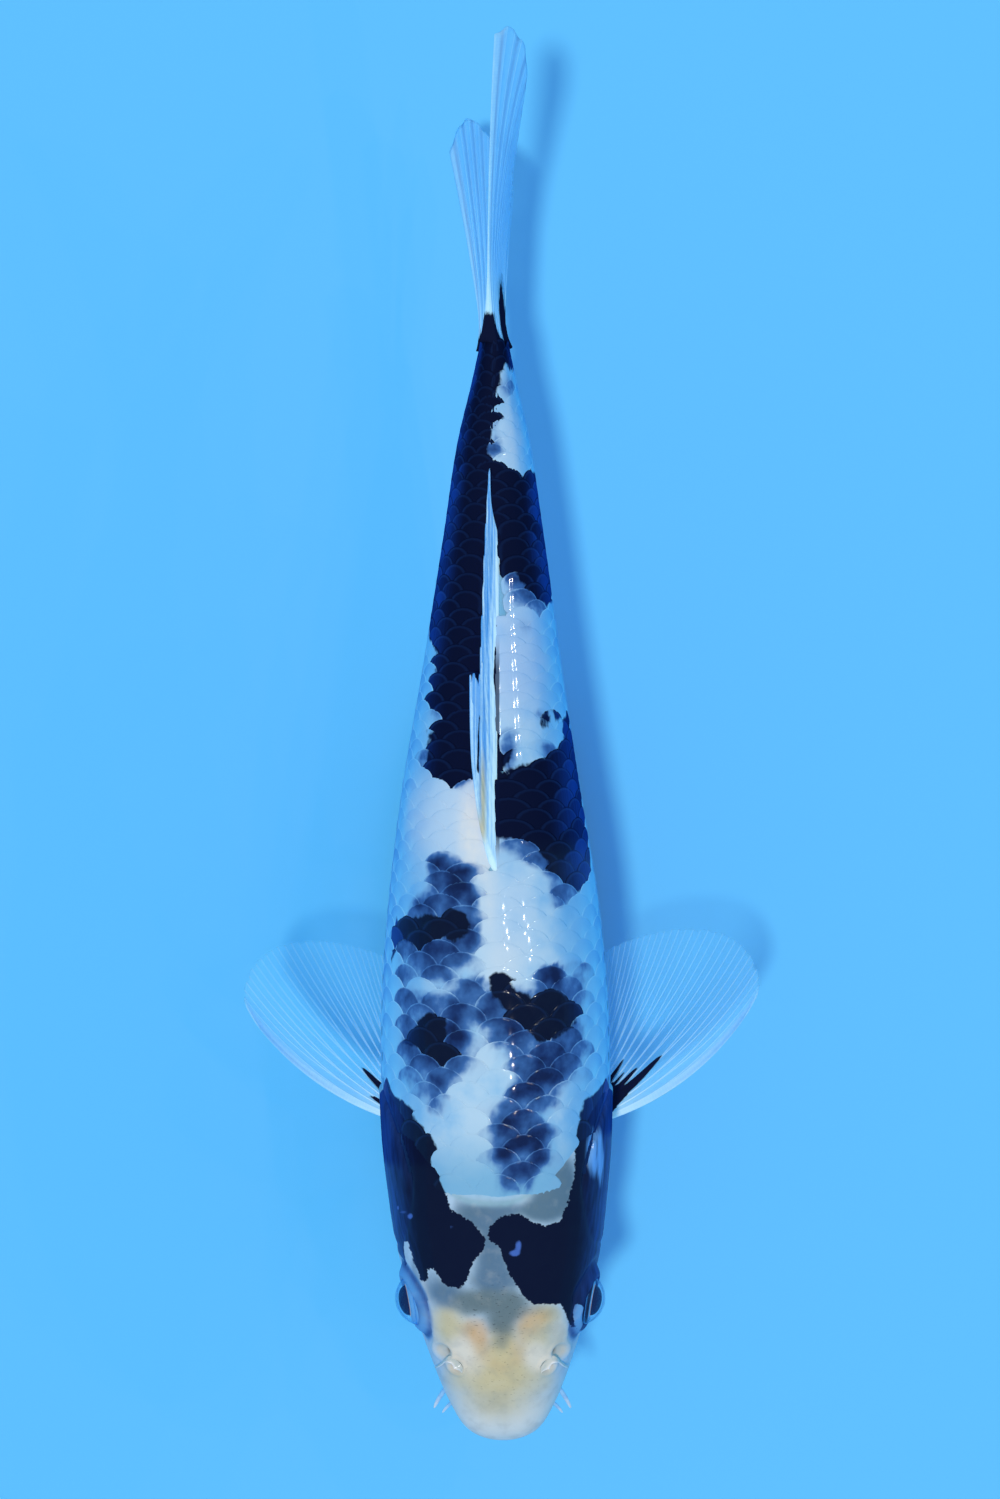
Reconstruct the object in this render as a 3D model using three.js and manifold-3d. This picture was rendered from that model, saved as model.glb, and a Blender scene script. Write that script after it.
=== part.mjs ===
// A life-size koi carp, swimming slowly with its pectoral fins spread, on a plain two-rod display stand.
// Millimetres, +Z up. The head points along -Y, the tail along +Y, and the fish's left side is +X.
// The origin is on the floor under the middle of the whole model.

import * as THREE from "three";
import { ParametricGeometry } from "three/addons/geometries/ParametricGeometry.js";
import { mergeVertices } from "three/addons/utils/BufferGeometryUtils.js";
import Module from "manifold-3d";

const wasm = await Module();
wasm.setup();

// Driving dimensions.
const FISH_LENGTH = 396; // snout to the tip of the upper tail lobe
const BODY_LENGTH = 311; // snout to the root of the tail fin
const AXIS_Z = 92; // height of the body's axis above the floor
const GAP = 0.3; // clearance between neighbouring solids
const SNOUT_Y = -FISH_LENGTH / 2;
const FAR = 300; // larger than any cut it is used for

// ---------------------------------------------------------------------------------------------
// Materials
// ---------------------------------------------------------------------------------------------

function finish(color, roughness, metalness = 0) {
  return new THREE.MeshStandardMaterial({ color, roughness, metalness });
}

const PEARL_SKIN = finish(0xc3d6e8, 0.35);
const BLACK_SKIN = finish(0x141c33, 0.35);
const FIN_WHITE = finish(0xbdd6ea, 0.4);
const EYE_DARK = finish(0x0e1220, 0.08);
const STAND_BLACK = finish(0x1c1d20, 0.45);
const ROD_STEEL = finish(0x9a9da1, 0.3, 1);

// ---------------------------------------------------------------------------------------------
// Solids
// ---------------------------------------------------------------------------------------------

// A closed three.js geometry as a solid. Seams are merged, faces that shrink to a line at a pole go, and
// the faces are turned outwards if they were wound inwards.
function solidOf(geometry) {
  const bare = geometry.clone();
  bare.deleteAttribute("normal");
  bare.deleteAttribute("uv");
  const merged = mergeVertices(bare, 1e-4);
  const corners = merged.index.array;
  const kept = [];
  for (let i = 0; i < corners.length; i += 3) {
    const [a, b, c] = corners.slice(i, i + 3);
    if (a !== b && b !== c && c !== a) kept.push(a, b, c);
  }
  const vertProperties = merged.attributes.position.array;
  const wound = (triVerts) => new wasm.Manifold(new wasm.Mesh({ numProp: 3, vertProperties, triVerts }));
  const solid = wound(Uint32Array.from(kept));
  return solid.volume() > 0 ? solid : wound(Uint32Array.from(kept.reverse()));
}

function meshOf(name, solid, material) {
  const made = solid.getMesh();
  const places = new Float32Array(made.numVert * 3);
  for (let i = 0; i < made.numVert; i++) {
    places.set(made.vertProperties.subarray(i * made.numProp, i * made.numProp + 3), i * 3);
  }
  const geometry = new THREE.BufferGeometry();
  geometry.setAttribute("position", new THREE.BufferAttribute(places, 3));
  geometry.setIndex(new THREE.BufferAttribute(made.triVerts, 1));
  geometry.computeVertexNormals();
  const mesh = new THREE.Mesh(geometry, material);
  mesh.name = name;
  return mesh;
}

// A block between two corners, for cutting.
function block(low, high) {
  const size = new THREE.Vector3().subVectors(high, low);
  const middle = new THREE.Vector3().addVectors(low, high).multiplyScalar(0.5);
  return solidOf(new THREE.BoxGeometry(size.x, size.y, size.z).translate(middle.x, middle.y, middle.z));
}

// The slab of the body from one distance behind the snout to another.
function slab(from, to) {
  return block(
    new THREE.Vector3(-FAR, SNOUT_Y + from, -FAR),
    new THREE.Vector3(FAR, SNOUT_Y + to, FAR),
  );
}

// Everything on one side of the fish: side is 1 for its left (+X) and -1 for its right.
function half(side, from = 0) {
  const inner = side * from;
  return block(
    new THREE.Vector3(Math.min(inner, side * FAR), -FAR, -FAR),
    new THREE.Vector3(Math.max(inner, side * FAR), FAR, FAR),
  );
}

// ---------------------------------------------------------------------------------------------
// The body's form
// ---------------------------------------------------------------------------------------------

// A smooth curve through (x, y) points: cubic pieces whose slopes are those of the neighbouring chords.
function curveThrough(points) {
  const last = points.length - 1;
  const chord = (i) => (points[i + 1][1] - points[i][1]) / (points[i + 1][0] - points[i][0]);
  const slope = (i) => {
    if (i === 0) return chord(0);
    if (i === last) return chord(last - 1);
    const before = points[i][0] - points[i - 1][0];
    const after = points[i + 1][0] - points[i][0];
    return (chord(i - 1) * after + chord(i) * before) / (before + after);
  };
  return (x) => {
    let i = 0;
    while (i < last - 1 && x > points[i + 1][0]) i++;
    const width = points[i + 1][0] - points[i][0];
    const t = Math.min(1, Math.max(0, (x - points[i][0]) / width));
    const rise = (1 - t) * (1 - t) * t * slope(i) - (1 - t) * t * t * slope(i + 1);
    return points[i][1] + (points[i + 1][1] - points[i][1]) * t * t * (3 - 2 * t) + rise * width;
  };
}

// Cross-sections of the body. Each row: distance behind the snout, half-width, height of the back above
// the axis, height of the belly, height of the widest level, and the sideways bend of the swimming body.
const SECTIONS = [
  [0, 0, -7, -7, -7, 0.8],
  [3, 9.5, 1.5, -14, -7, 0.8],
  [11.5, 15.2, 8.5, -19.5, -7, 0.7],
  [23, 19.8, 16.5, -24, -6.5, 0.5],
  [40, 25.2, 25.5, -28.5, -5.5, 0.1],
  [63, 30.3, 34.5, -33, -4, -0.5],
  [85, 31.9, 40.5, -36.5, -2, -0.9],
  [119, 32.4, 45, -38.5, 1, -1.4],
  [153, 29.9, 45.5, -37.5, 3, -1.8],
  [187, 25.1, 40.5, -33.5, 3, -2.5],
  [221, 19.6, 33, -27, 2, -2.2],
  [258, 14.2, 25, -20.5, 1, -1.8],
  [287, 9.7, 20.5, -18, 0.5, -1.8],
  [301, 6.4, 20, -18, 0.3, -1.7],
  [311, 4.3, 21.5, -19.5, 0.5, -1.6],
];

// The nose is round, so sections are joined along the square root of the distance from its tip.
const rounded = (distance) => Math.sqrt(Math.max(0, distance) / BODY_LENGTH);
const column = (i) => curveThrough(SECTIONS.map((row) => [rounded(row[0]), row[i]]));
const [halfWidth, back, belly, level, bend] = [1, 2, 3, 4, 5].map(column);

// The head is squarer in section than the trunk: this falls from 1 at the snout to 0 on the trunk.
const headShare = (distance) => 1 - THREE.MathUtils.smoothstep(distance, 40, 110);

// A point of the body's surface. angle runs from 0 on the back, by the fish's left side, to pi on the belly.
function bodyPoint(distance, angle, grow, target) {
  const q = rounded(distance);
  const power = 1 - 0.18 * headShare(distance);
  const across = Math.sin(angle);
  const up = Math.cos(angle);
  const rise = up > 0 ? back(q) - level(q) : level(q) - belly(q);
  const wide = Math.max(0.1, halfWidth(q) + grow);
  const high = Math.max(0.1, rise + grow);
  const x = wide * Math.sign(across) * Math.abs(across) ** power;
  const z = high * Math.sign(up) * Math.abs(up) ** power;
  return target.set(bend(q) + x, SNOUT_Y + distance, AXIS_Z + level(q) + z);
}

// The whole body as one solid, grown outwards by grow all over. Its rows crowd towards the nose.
function bodySolid(grow = 0) {
  const rows = 33;
  const around = 24;
  const surface = (u, v, target) => {
    const row = Math.round(v * rows);
    if (row === 0) return target.set(bend(0), SNOUT_Y - grow, AXIS_Z + level(0));
    if (row === rows) return target.set(bend(1), SNOUT_Y + BODY_LENGTH + grow, AXIS_Z);
    const share = row / (rows - 1);
    const turn = Math.round(u * around) % around;
    bodyPoint(BODY_LENGTH * (0.2 * share + 0.8 * share * share), (turn / around) * 2 * Math.PI, grow, target);
    if (row === rows - 1) target.y += grow;
    return target;
  };
  return solidOf(new ParametricGeometry(surface, around, rows));
}

// ---------------------------------------------------------------------------------------------
// Fins: blades with raised rays
// ---------------------------------------------------------------------------------------------

// A fin as one closed blade. place(ray, out) gives the middle of the blade, where ray runs from 0 at the
// leading ray to 1 at the last, and out from 0 at the root to 1 at the margin. Rays stand up as ridges.
function finSolid({ rays, steps, place, rootThick, rayThick, webThick }) {
  const columns = 2 * (rays - 1);
  const around = 2 * columns + 2;
  const rows = steps + 2;
  const here = new THREE.Vector3();
  const alongRay = new THREE.Vector3();
  const acrossRays = new THREE.Vector3();
  const step = 1e-3;
  const surface = (u, v, target) => {
    const k = Math.round(u * around) % around;
    const front = k <= columns;
    const c = front ? k : around - 1 - k;
    const row = Math.round(v * rows);
    const out = THREE.MathUtils.clamp((row - 1) / steps, 0, 1);
    const ray = c / columns;
    place(ray, out, here);
    place(Math.min(ray + step, 1), out, acrossRays);
    place(Math.max(ray - step, 0), out, target);
    acrossRays.sub(target);
    place(ray, Math.min(out + step, 1), alongRay);
    place(ray, Math.max(out - step, 0), target);
    alongRay.sub(target);
    const normal = acrossRays.cross(alongRay).normalize();
    const blade = c % 2 ? webThick : rayThick;
    const thick = blade + (rootThick - blade) * (1 - out) ** 3;
    const capped = row === 0 || row === rows;
    const lift = capped ? 0 : (thick / 2) * (front ? 1 : -1);
    return target.copy(here).addScaledVector(normal, lift);
  };
  return solidOf(new ParametricGeometry(surface, around, rows));
}

// Pectoral fin: a broad fan held out level beside the belly. Its rays leave the root sweeping outwards
// and curve back towards the tail. Each row: a ray's bearing at its tip in degrees, and its length.
const PECTORAL_MARGIN = [[33.5, 51], [36, 57], [42, 62], [50, 62.5], [60, 57], [70, 49.5], [82, 41]];
const pectoralReach = curveThrough(PECTORAL_MARGIN);
const PECTORAL_ROOT = { x: 26, distance: 89, z: -21 };

function pectoralPlace(side, reach, sweep) {
  return (ray, out, target) => {
    const bearing = 33.5 + 48 * ray;
    const length = pectoralReach(bearing) * reach * out;
    const lag = 20 * (1 - out) * (1 - ray) ** 2;
    const turned = THREE.MathUtils.degToRad(bearing + sweep * out - lag);
    const outward = PECTORAL_ROOT.x - 1.5 * ray + Math.cos(turned) * length;
    const distance = PECTORAL_ROOT.distance + 6 * ray + Math.sin(turned) * length;
    const cupped = 7 * out * out * (1 - 0.75 * ray) + 3 * out * (1 - ray) - 4 * ray;
    return target.set(side * outward, SNOUT_Y + distance, AXIS_Z + PECTORAL_ROOT.z + cupped);
  };
}

// Pelvic fin: a smaller fan under the belly, half folded back.
function pelvicPlace(side) {
  const reach = curveThrough([[0, 38], [0.35, 41], [0.7, 36], [1, 26]]);
  return (ray, out, target) => {
    const bearing = THREE.MathUtils.degToRad(58 + 24 * ray);
    const length = reach(ray) * out;
    const distance = 156 + 6 * ray + Math.sin(bearing) * length;
    const x = side * (9 + 0.62 * Math.cos(bearing) * length) + bend(rounded(156));
    const z = belly(rounded(156)) + 3 - 0.34 * length * (1 - 0.45 * ray);
    return target.set(x, SNOUT_Y + distance, AXIS_Z + z);
  };
}

// Dorsal fin: long-based, folded back along the spine and leaning to the fish's right.
// Each row of its margin: share of the base, length of the ray, and how far its tip leans over.
const DORSAL_BASE = { from: 161, length: 97 };
const DORSAL_MARGIN = [
  [0, 50, 6.4],
  [0.05, 54, 6.8],
  [0.1, 50, 6.2],
  [0.2, 38, 4.4],
  [0.45, 29, 3.4],
  [0.75, 24, 2.8],
  [1, 19, 2],
];
const dorsalReach = curveThrough(DORSAL_MARGIN.map((row) => [row[0], row[1]]));
const dorsalLean = curveThrough(DORSAL_MARGIN.map((row) => [row[0], row[2]]));

function dorsalPlace(ray, out, target) {
  const start = DORSAL_BASE.from + DORSAL_BASE.length * ray;
  const spine = back(rounded(start));
  const length = dorsalReach(ray) * out;
  const recline = THREE.MathUtils.degToRad(17 + 5 * Math.min(1, ray * 3));
  const distance = start + Math.cos(recline) * length;
  // The back slopes down behind the base, and the laid-back rays follow it.
  const follow = (back(rounded(Math.min(distance, BODY_LENGTH))) - spine) * 0.85;
  const z = spine - 1.5 + Math.sin(recline) * length * (1 - 0.3 * out) + follow;
  const x = bend(rounded(start)) + 0.9 - dorsalLean(ray) * (1 - (1 - out) ** 3);
  return target.set(x, SNOUT_Y + distance, AXIS_Z + z);
}

// Anal fin: short-based, under the tail stalk.
function analPlace(ray, out, target) {
  const start = 236 + 23 * ray;
  const length = (36 - 17 * ray) * out;
  const recline = THREE.MathUtils.degToRad(38 - 8 * ray);
  const z = belly(rounded(start)) + 1.5 - Math.sin(recline) * length;
  const x = bend(rounded(start)) - 0.0012 * length * length;
  return target.set(x, SNOUT_Y + start + Math.cos(recline) * length, AXIS_Z + z);
}

// Tail fin: two lobes, cupped by the last sweep of the tail so that both outer edges trail towards -X.
// Each row: share from the leading ray to the fork, reach behind the root, sideways place of the tip.
const UPPER_LOBE = [
  [0, 82, -1.5],
  [0.07, 84.7, 2],
  [0.16, 82, 6],
  [0.27, 75, 7.4],
  [0.42, 64, 6],
  [0.62, 52, 4],
  [1, 39, 2.6],
];
const LOWER_LOBE = [
  [0, 61, -14.8],
  [0.1, 68, -12],
  [0.22, 70, -8.5],
  [0.35, 65, -4.5],
  [0.6, 55, 2],
  [0.8, 47, 3.6],
  [1, 39, 2.6],
];

function tailPlace(upper) {
  const rows = upper ? UPPER_LOBE : LOWER_LOBE;
  const [reach, tipX] = [1, 2].map((i) => curveThrough(rows.map((row) => [row[0], row[i]])));
  const sign = upper ? 1 : -1;
  const rootX = upper ? -3.5 : -4.8;
  const fan = upper ? 19.5 : 25;
  return (ray, out, target) => {
    const fromFork = 1 - ray;
    const slope = Math.tan(THREE.MathUtils.degToRad(1.5 + fan * fromFork ** 1.2));
    const behind = reach(ray) * out;
    const bow = 4 * fromFork * Math.sin(Math.PI * out);
    const height = 0.8 + 19 * fromFork + slope * behind - bow;
    // The upper lobe keeps straight until near its tip, the lower one swings out all the way.
    const swing = upper ? out ** 2.5 : out ** 1.2;
    const x = THREE.MathUtils.lerp(rootX + (1 - rootX) * ray ** 0.8, tipX(ray), swing);
    return target.set(x, SNOUT_Y + BODY_LENGTH + GAP + behind, AXIS_Z + 1 + sign * height);
  };
}

// ---------------------------------------------------------------------------------------------
// Head parts
// ---------------------------------------------------------------------------------------------

const EYE = { distance: 42, x: 21.5, z: 5.5, radius: 8 };
const MOUTH = { back: 17, level: -14.2 };
const COVER_THICK = 1.6;

function ball(center, radius) {
  return solidOf(new THREE.SphereGeometry(radius, 14, 8).translate(center.x, center.y, center.z));
}

function eyeCenter(side) {
  const x = bend(rounded(EYE.distance)) + side * EYE.x;
  return new THREE.Vector3(x, SNOUT_Y + EYE.distance, AXIS_Z + EYE.z);
}

// Side outline of the gill cover, as (distance behind the snout, height above the axis).
function coverOutline(grow) {
  const middle = new THREE.Vector2(79, -4);
  const edge = [
    [57, 9], [63, 20], [77, 25], [91, 20], [101, 8], [102, -6], [96, -19], [84, -30], [68, -27], [58, -11],
  ].map(([d, z]) => {
    const point = new THREE.Vector2(d, z);
    const outward = point.clone().sub(middle).normalize();
    return point.addScaledVector(outward, grow);
  });
  return new THREE.SplineCurve([...edge, edge[0]]).getPoints(20);
}

// The part of space a gill cover takes: its outline carried out sideways, down to a depth under the skin.
function coverZone(side, grow) {
  const shape = new THREE.Shape(coverOutline(grow));
  const prism = new THREE.ExtrudeGeometry(shape, { depth: FAR, bevelEnabled: false, steps: 1 });
  // Shape x runs along the fish and shape y upwards, so the extrusion turns from +Z to +X.
  prism.applyMatrix4(new THREE.Matrix4().set(0, 0, 1, 0, 1, 0, 0, SNOUT_Y, 0, 1, 0, AXIS_Z, 0, 0, 0, 1));
  const left = solidOf(prism);
  const core = bodySolid(-COVER_THICK - grow);
  const zone = side > 0 ? left : left.mirror([1, 0, 0]);
  return zone.intersect(half(side, 8)).subtract(core);
}

// A feeler: a round, tapering rod along a curve, closed to a point.
function barbelSolid(points, thick) {
  const curve = new THREE.CatmullRomCurve3(points);
  const rows = 7;
  const around = 6;
  const middle = new THREE.Vector3();
  const frames = curve.computeFrenetFrames(rows, false);
  const surface = (u, v, target) => {
    const row = Math.round(v * rows);
    curve.getPointAt(row / rows, middle);
    const radius = row === 0 || row === rows ? 0 : thick * (1 - 0.6 * (row / rows));
    const angle = -u * 2 * Math.PI;
    target.copy(middle);
    target.addScaledVector(frames.normals[row], Math.cos(angle) * radius);
    return target.addScaledVector(frames.binormals[row], Math.sin(angle) * radius);
  };
  return solidOf(new ParametricGeometry(surface, around, rows));
}

// The two pairs: a short one on the upper lip and a longer one at the corner of the mouth.
function barbelPoints(side, long) {
  const root = bend(rounded(12));
  const rows = long
    ? [[14.2, 16.5, -12.5], [16.2, 13.6, -14.5], [17.8, 10.6, -17], [19.2, 7.4, -20.5]]
    : [[12.2, 12.8, -5.5], [14.2, 11, -6.8], [15.8, 9.2, -8.6], [17, 7.4, -11.2]];
  return rows.map(([x, d, z]) => new THREE.Vector3(root + side * x, SNOUT_Y + d, AXIS_Z + z));
}

// Nostril flap: a small upright scoop of skin in front of the rear nostril.
function nostrilSolid(side) {
  const rows = 5;
  const around = 12;
  const middle = new THREE.Vector3();
  const surface = (u, v, target) => {
    const row = Math.round(v * rows);
    const up = THREE.MathUtils.clamp((row - 1) / (rows - 2), 0, 1);
    const wide = row === 0 || row === rows ? 0 : 1;
    const angle = -u * 2 * Math.PI;
    bodyPoint(22.5, side * 0.62, 0.2 + 1.7 * up, middle);
    const x = side * 2.6 * Math.cos(angle) * wide;
    const y = (0.45 * Math.sin(angle) + 0.9 * Math.cos(angle) ** 2) * wide;
    return target.set(middle.x + x, middle.y + y, middle.z - 0.3 * side * x * wide);
  };
  return solidOf(new ParametricGeometry(surface, around, rows));
}

// ---------------------------------------------------------------------------------------------
// Assembly
// ---------------------------------------------------------------------------------------------

const koi = new THREE.Group();
const body = bodySolid();
const clear = bodySolid(GAP);

function addFlesh() {
  let flesh = body;
  for (const side of [1, -1]) {
    flesh = flesh.subtract(coverZone(side, GAP));
    flesh = flesh.subtract(ball(eyeCenter(side), EYE.radius + GAP));
  }
  const jawZone = block(
    new THREE.Vector3(-FAR, SNOUT_Y - FAR, -FAR),
    new THREE.Vector3(FAR, SNOUT_Y + MOUTH.back, AXIS_Z + MOUTH.level),
  );
  const jawRoom = block(
    new THREE.Vector3(-FAR, SNOUT_Y - FAR, -FAR),
    new THREE.Vector3(FAR, SNOUT_Y + MOUTH.back + GAP, AXIS_Z + MOUTH.level + GAP),
  );
  const cuts = [-1, 88, 165, 245, BODY_LENGTH + 1];
  const names = ["head", "trunk_front", "trunk_rear", "tail_stalk"];
  names.forEach((name, i) => {
    let piece = flesh.intersect(slab(cuts[i] + (i ? GAP : 0), cuts[i + 1]));
    if (name === "head") {
      koi.add(meshOf("lower_jaw", body.intersect(jawZone), PEARL_SKIN));
      piece = piece.subtract(jawRoom);
    }
    koi.add(meshOf(name, piece, i === 3 ? BLACK_SKIN : PEARL_SKIN));
  });
}

function addHeadParts(side, word) {
  koi.add(meshOf(`gill_cover_${word}`, coverZone(side, 0).intersect(body), BLACK_SKIN));
  koi.add(meshOf(`eye_${word}`, ball(eyeCenter(side), EYE.radius), EYE_DARK));
  for (const [name, long, thick] of [["barbel_front", false, 0.7], ["barbel_rear", true, 0.95]]) {
    const feeler = barbelSolid(barbelPoints(side, long), thick);
    koi.add(meshOf(`${name}_${word}`, feeler.subtract(clear), PEARL_SKIN));
  }
  koi.add(meshOf(`nostril_${word}`, nostrilSolid(side).subtract(clear), PEARL_SKIN));
}

function addFins() {
  const fin = { rootThick: 2.4, rayThick: 1.1, webThick: 0.6, steps: 4 };
  for (const [side, word, reach, sweep] of [[1, "left", 1.06, 2], [-1, "right", 1.01, 0]]) {
    const pectoral = finSolid({ ...fin, rays: 14, place: pectoralPlace(side, reach, sweep) });
    koi.add(meshOf(`pectoral_fin_${word}`, pectoral.subtract(clear), FIN_WHITE));
    const pelvic = finSolid({ ...fin, rays: 8, place: pelvicPlace(side) });
    koi.add(meshOf(`pelvic_fin_${word}`, pelvic.subtract(clear), FIN_WHITE));
  }
  const dorsal = finSolid({ ...fin, rays: 14, place: dorsalPlace });
  koi.add(meshOf("dorsal_fin", dorsal.subtract(clear), FIN_WHITE));
  const anal = finSolid({ ...fin, rays: 7, place: analPlace });
  koi.add(meshOf("anal_fin", anal.subtract(clear), FIN_WHITE));
  const lobe = { ...fin, rays: 9, steps: 6, rootThick: 5 };
  const upper = finSolid({ ...lobe, place: tailPlace(true) });
  const lower = finSolid({ ...lobe, place: tailPlace(false) });
  koi.add(meshOf("tail_fin_upper", upper, FIN_WHITE));
  koi.add(meshOf("tail_fin_lower", lower, FIN_WHITE));
}

// A slim oval base stands on the floor, and two rods rise from it to the belly.
const STAND = { length: 200, width: 60, thick: 9, bevel: 1.5, rod: 3.2, middle: 124, spread: 42 };

function addStand() {
  const outline = new THREE.Shape();
  outline.absellipse(0, 0, STAND.width / 2 - STAND.bevel, STAND.length / 2 - STAND.bevel, 0, 2 * Math.PI);
  const plate = new THREE.ExtrudeGeometry(outline, {
    depth: STAND.thick - 2 * STAND.bevel,
    bevelThickness: STAND.bevel,
    bevelSize: STAND.bevel,
    bevelSegments: 1,
    curveSegments: 20,
    steps: 1,
  });
  const middle = new THREE.Vector3(bend(rounded(STAND.middle)), SNOUT_Y + STAND.middle, STAND.bevel);
  const base = solidOf(plate.translate(middle.x, middle.y, middle.z));
  koi.add(meshOf("stand_base", base, STAND_BLACK));
  for (const [word, way] of [["front", -1], ["rear", 1]]) {
    const height = AXIS_Z - STAND.thick - GAP;
    const rod = new THREE.CylinderGeometry(STAND.rod, STAND.rod, height, 16);
    rod.rotateX(Math.PI / 2);
    rod.translate(middle.x, middle.y + way * STAND.spread, STAND.thick + GAP + height / 2);
    koi.add(meshOf(`stand_rod_${word}`, solidOf(rod).subtract(clear), ROD_STEEL));
  }
}

addFlesh();
addHeadParts(1, "left");
addHeadParts(-1, "right");
addFins();
addStand();

export default koi;
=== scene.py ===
"""A life-size black and white koi carp, with its pectoral fins spread, on a display stand of two rods."""

import bpy
import numpy as np
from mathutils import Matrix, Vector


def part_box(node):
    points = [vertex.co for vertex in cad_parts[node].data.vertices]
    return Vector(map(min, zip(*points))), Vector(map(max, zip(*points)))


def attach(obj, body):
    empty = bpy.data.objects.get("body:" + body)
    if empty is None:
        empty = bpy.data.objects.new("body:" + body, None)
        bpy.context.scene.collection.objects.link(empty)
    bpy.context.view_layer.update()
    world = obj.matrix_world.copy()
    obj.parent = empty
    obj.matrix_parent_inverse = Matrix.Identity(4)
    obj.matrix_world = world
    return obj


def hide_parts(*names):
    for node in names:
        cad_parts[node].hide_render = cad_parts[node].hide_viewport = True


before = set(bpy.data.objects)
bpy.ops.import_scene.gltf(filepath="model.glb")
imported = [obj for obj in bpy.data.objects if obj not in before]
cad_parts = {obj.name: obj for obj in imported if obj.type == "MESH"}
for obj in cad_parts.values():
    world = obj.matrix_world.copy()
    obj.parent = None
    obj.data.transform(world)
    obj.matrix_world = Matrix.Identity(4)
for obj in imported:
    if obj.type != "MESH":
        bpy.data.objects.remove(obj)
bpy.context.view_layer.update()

MM = 0.001


# ------------------------------------------------------------------------------------------------------
# The floor, the lights and the camera
# A pale blue floor under one soft lamp, almost overhead, and even light from all round.
# ------------------------------------------------------------------------------------------------------

FLOOR_SIZE = 40.0
FLOOR_COLOUR = (82, 187, 253)
FLOOR_SHADING = 3
AIR_COLOUR = (0.32, 0.74, 1.0, 1.0)
AIR_STRENGTH = 0.66
KEY_COLOUR = (1.0, 0.65, 0.44)
KEY_STRENGTH = 2.54
KEY_SOFTNESS = 0.07
KEY_WAY = (0.10, 0.10, -1.0)  # from over the head and the fish's right
GLINT_COLOUR = (1.0, 0.97, 0.95)
GLINT_STRENGTH = 0.5
GLINT_SOFTNESS = 0.012
# Small lamps over the fish's left, which only make points of light on wet and polished surfaces.
GLINT_WAYS = [
    (-0.36, 0.0, -1.0), (-1.2, 0.0, -1.0), (-0.4, 0.28, -1.0), (-0.36, -0.42, -1.0), (-0.28, -0.1, -1.0),
    (-1.0, -0.1, -1.0), (-1.75, -0.72, -1.0), (-1.32, -0.6, -1.0),
]
# The camera, in millimetres: above the axis of the fish, behind its snout, and its lens.
CAMERA_ABOVE_AXIS = 1510.0
CAMERA_BEHIND_SNOUT = 197.1
CAMERA_LENS = 127.6


def linear(colour):
    """An 8-bit sRGB colour as linear RGBA: ((c + 0.055) / 1.055) ** 2.4 above the short straight start."""
    c = np.array(colour, float) / 255
    straight = c / 12.92
    curved = ((c + 0.055) / 1.055) ** 2.4
    return (*np.where(c <= 0.04045, straight, curved), 1.0)


class Signal:
    """A number that varies over a surface. Arithmetic on it adds Math nodes."""

    def __init__(self, paint, socket):
        self.paint = paint
        self.socket = socket

    def math(self, operation, *values):
        return self.paint.node("ShaderNodeMath", {"operation": operation}, *values)

    def __add__(self, other):
        return self.math("ADD", self, other)

    def __sub__(self, other):
        return self.math("SUBTRACT", self, other)

    def __rsub__(self, other):
        return self.math("SUBTRACT", other, self)

    def __mul__(self, other):
        return self.math("MULTIPLY", self, other)

    def __pow__(self, other):
        return self.math("POWER", self, other)

    def __abs__(self):
        return self.math("ABSOLUTE", self)

    __radd__ = __add__
    __rmul__ = __mul__

    def step(self, low, high):
        """0 below low, 1 above high and a smooth step between. It falls instead where low is above high."""
        if low > high:
            return 1 - self.step(high, low)
        ramp = {"interpolation_type": "SMOOTHSTEP", "clamp": True}
        return self.paint.node("ShaderNodeMapRange", ramp, self, low, high, 0.0, 1.0)


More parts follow.
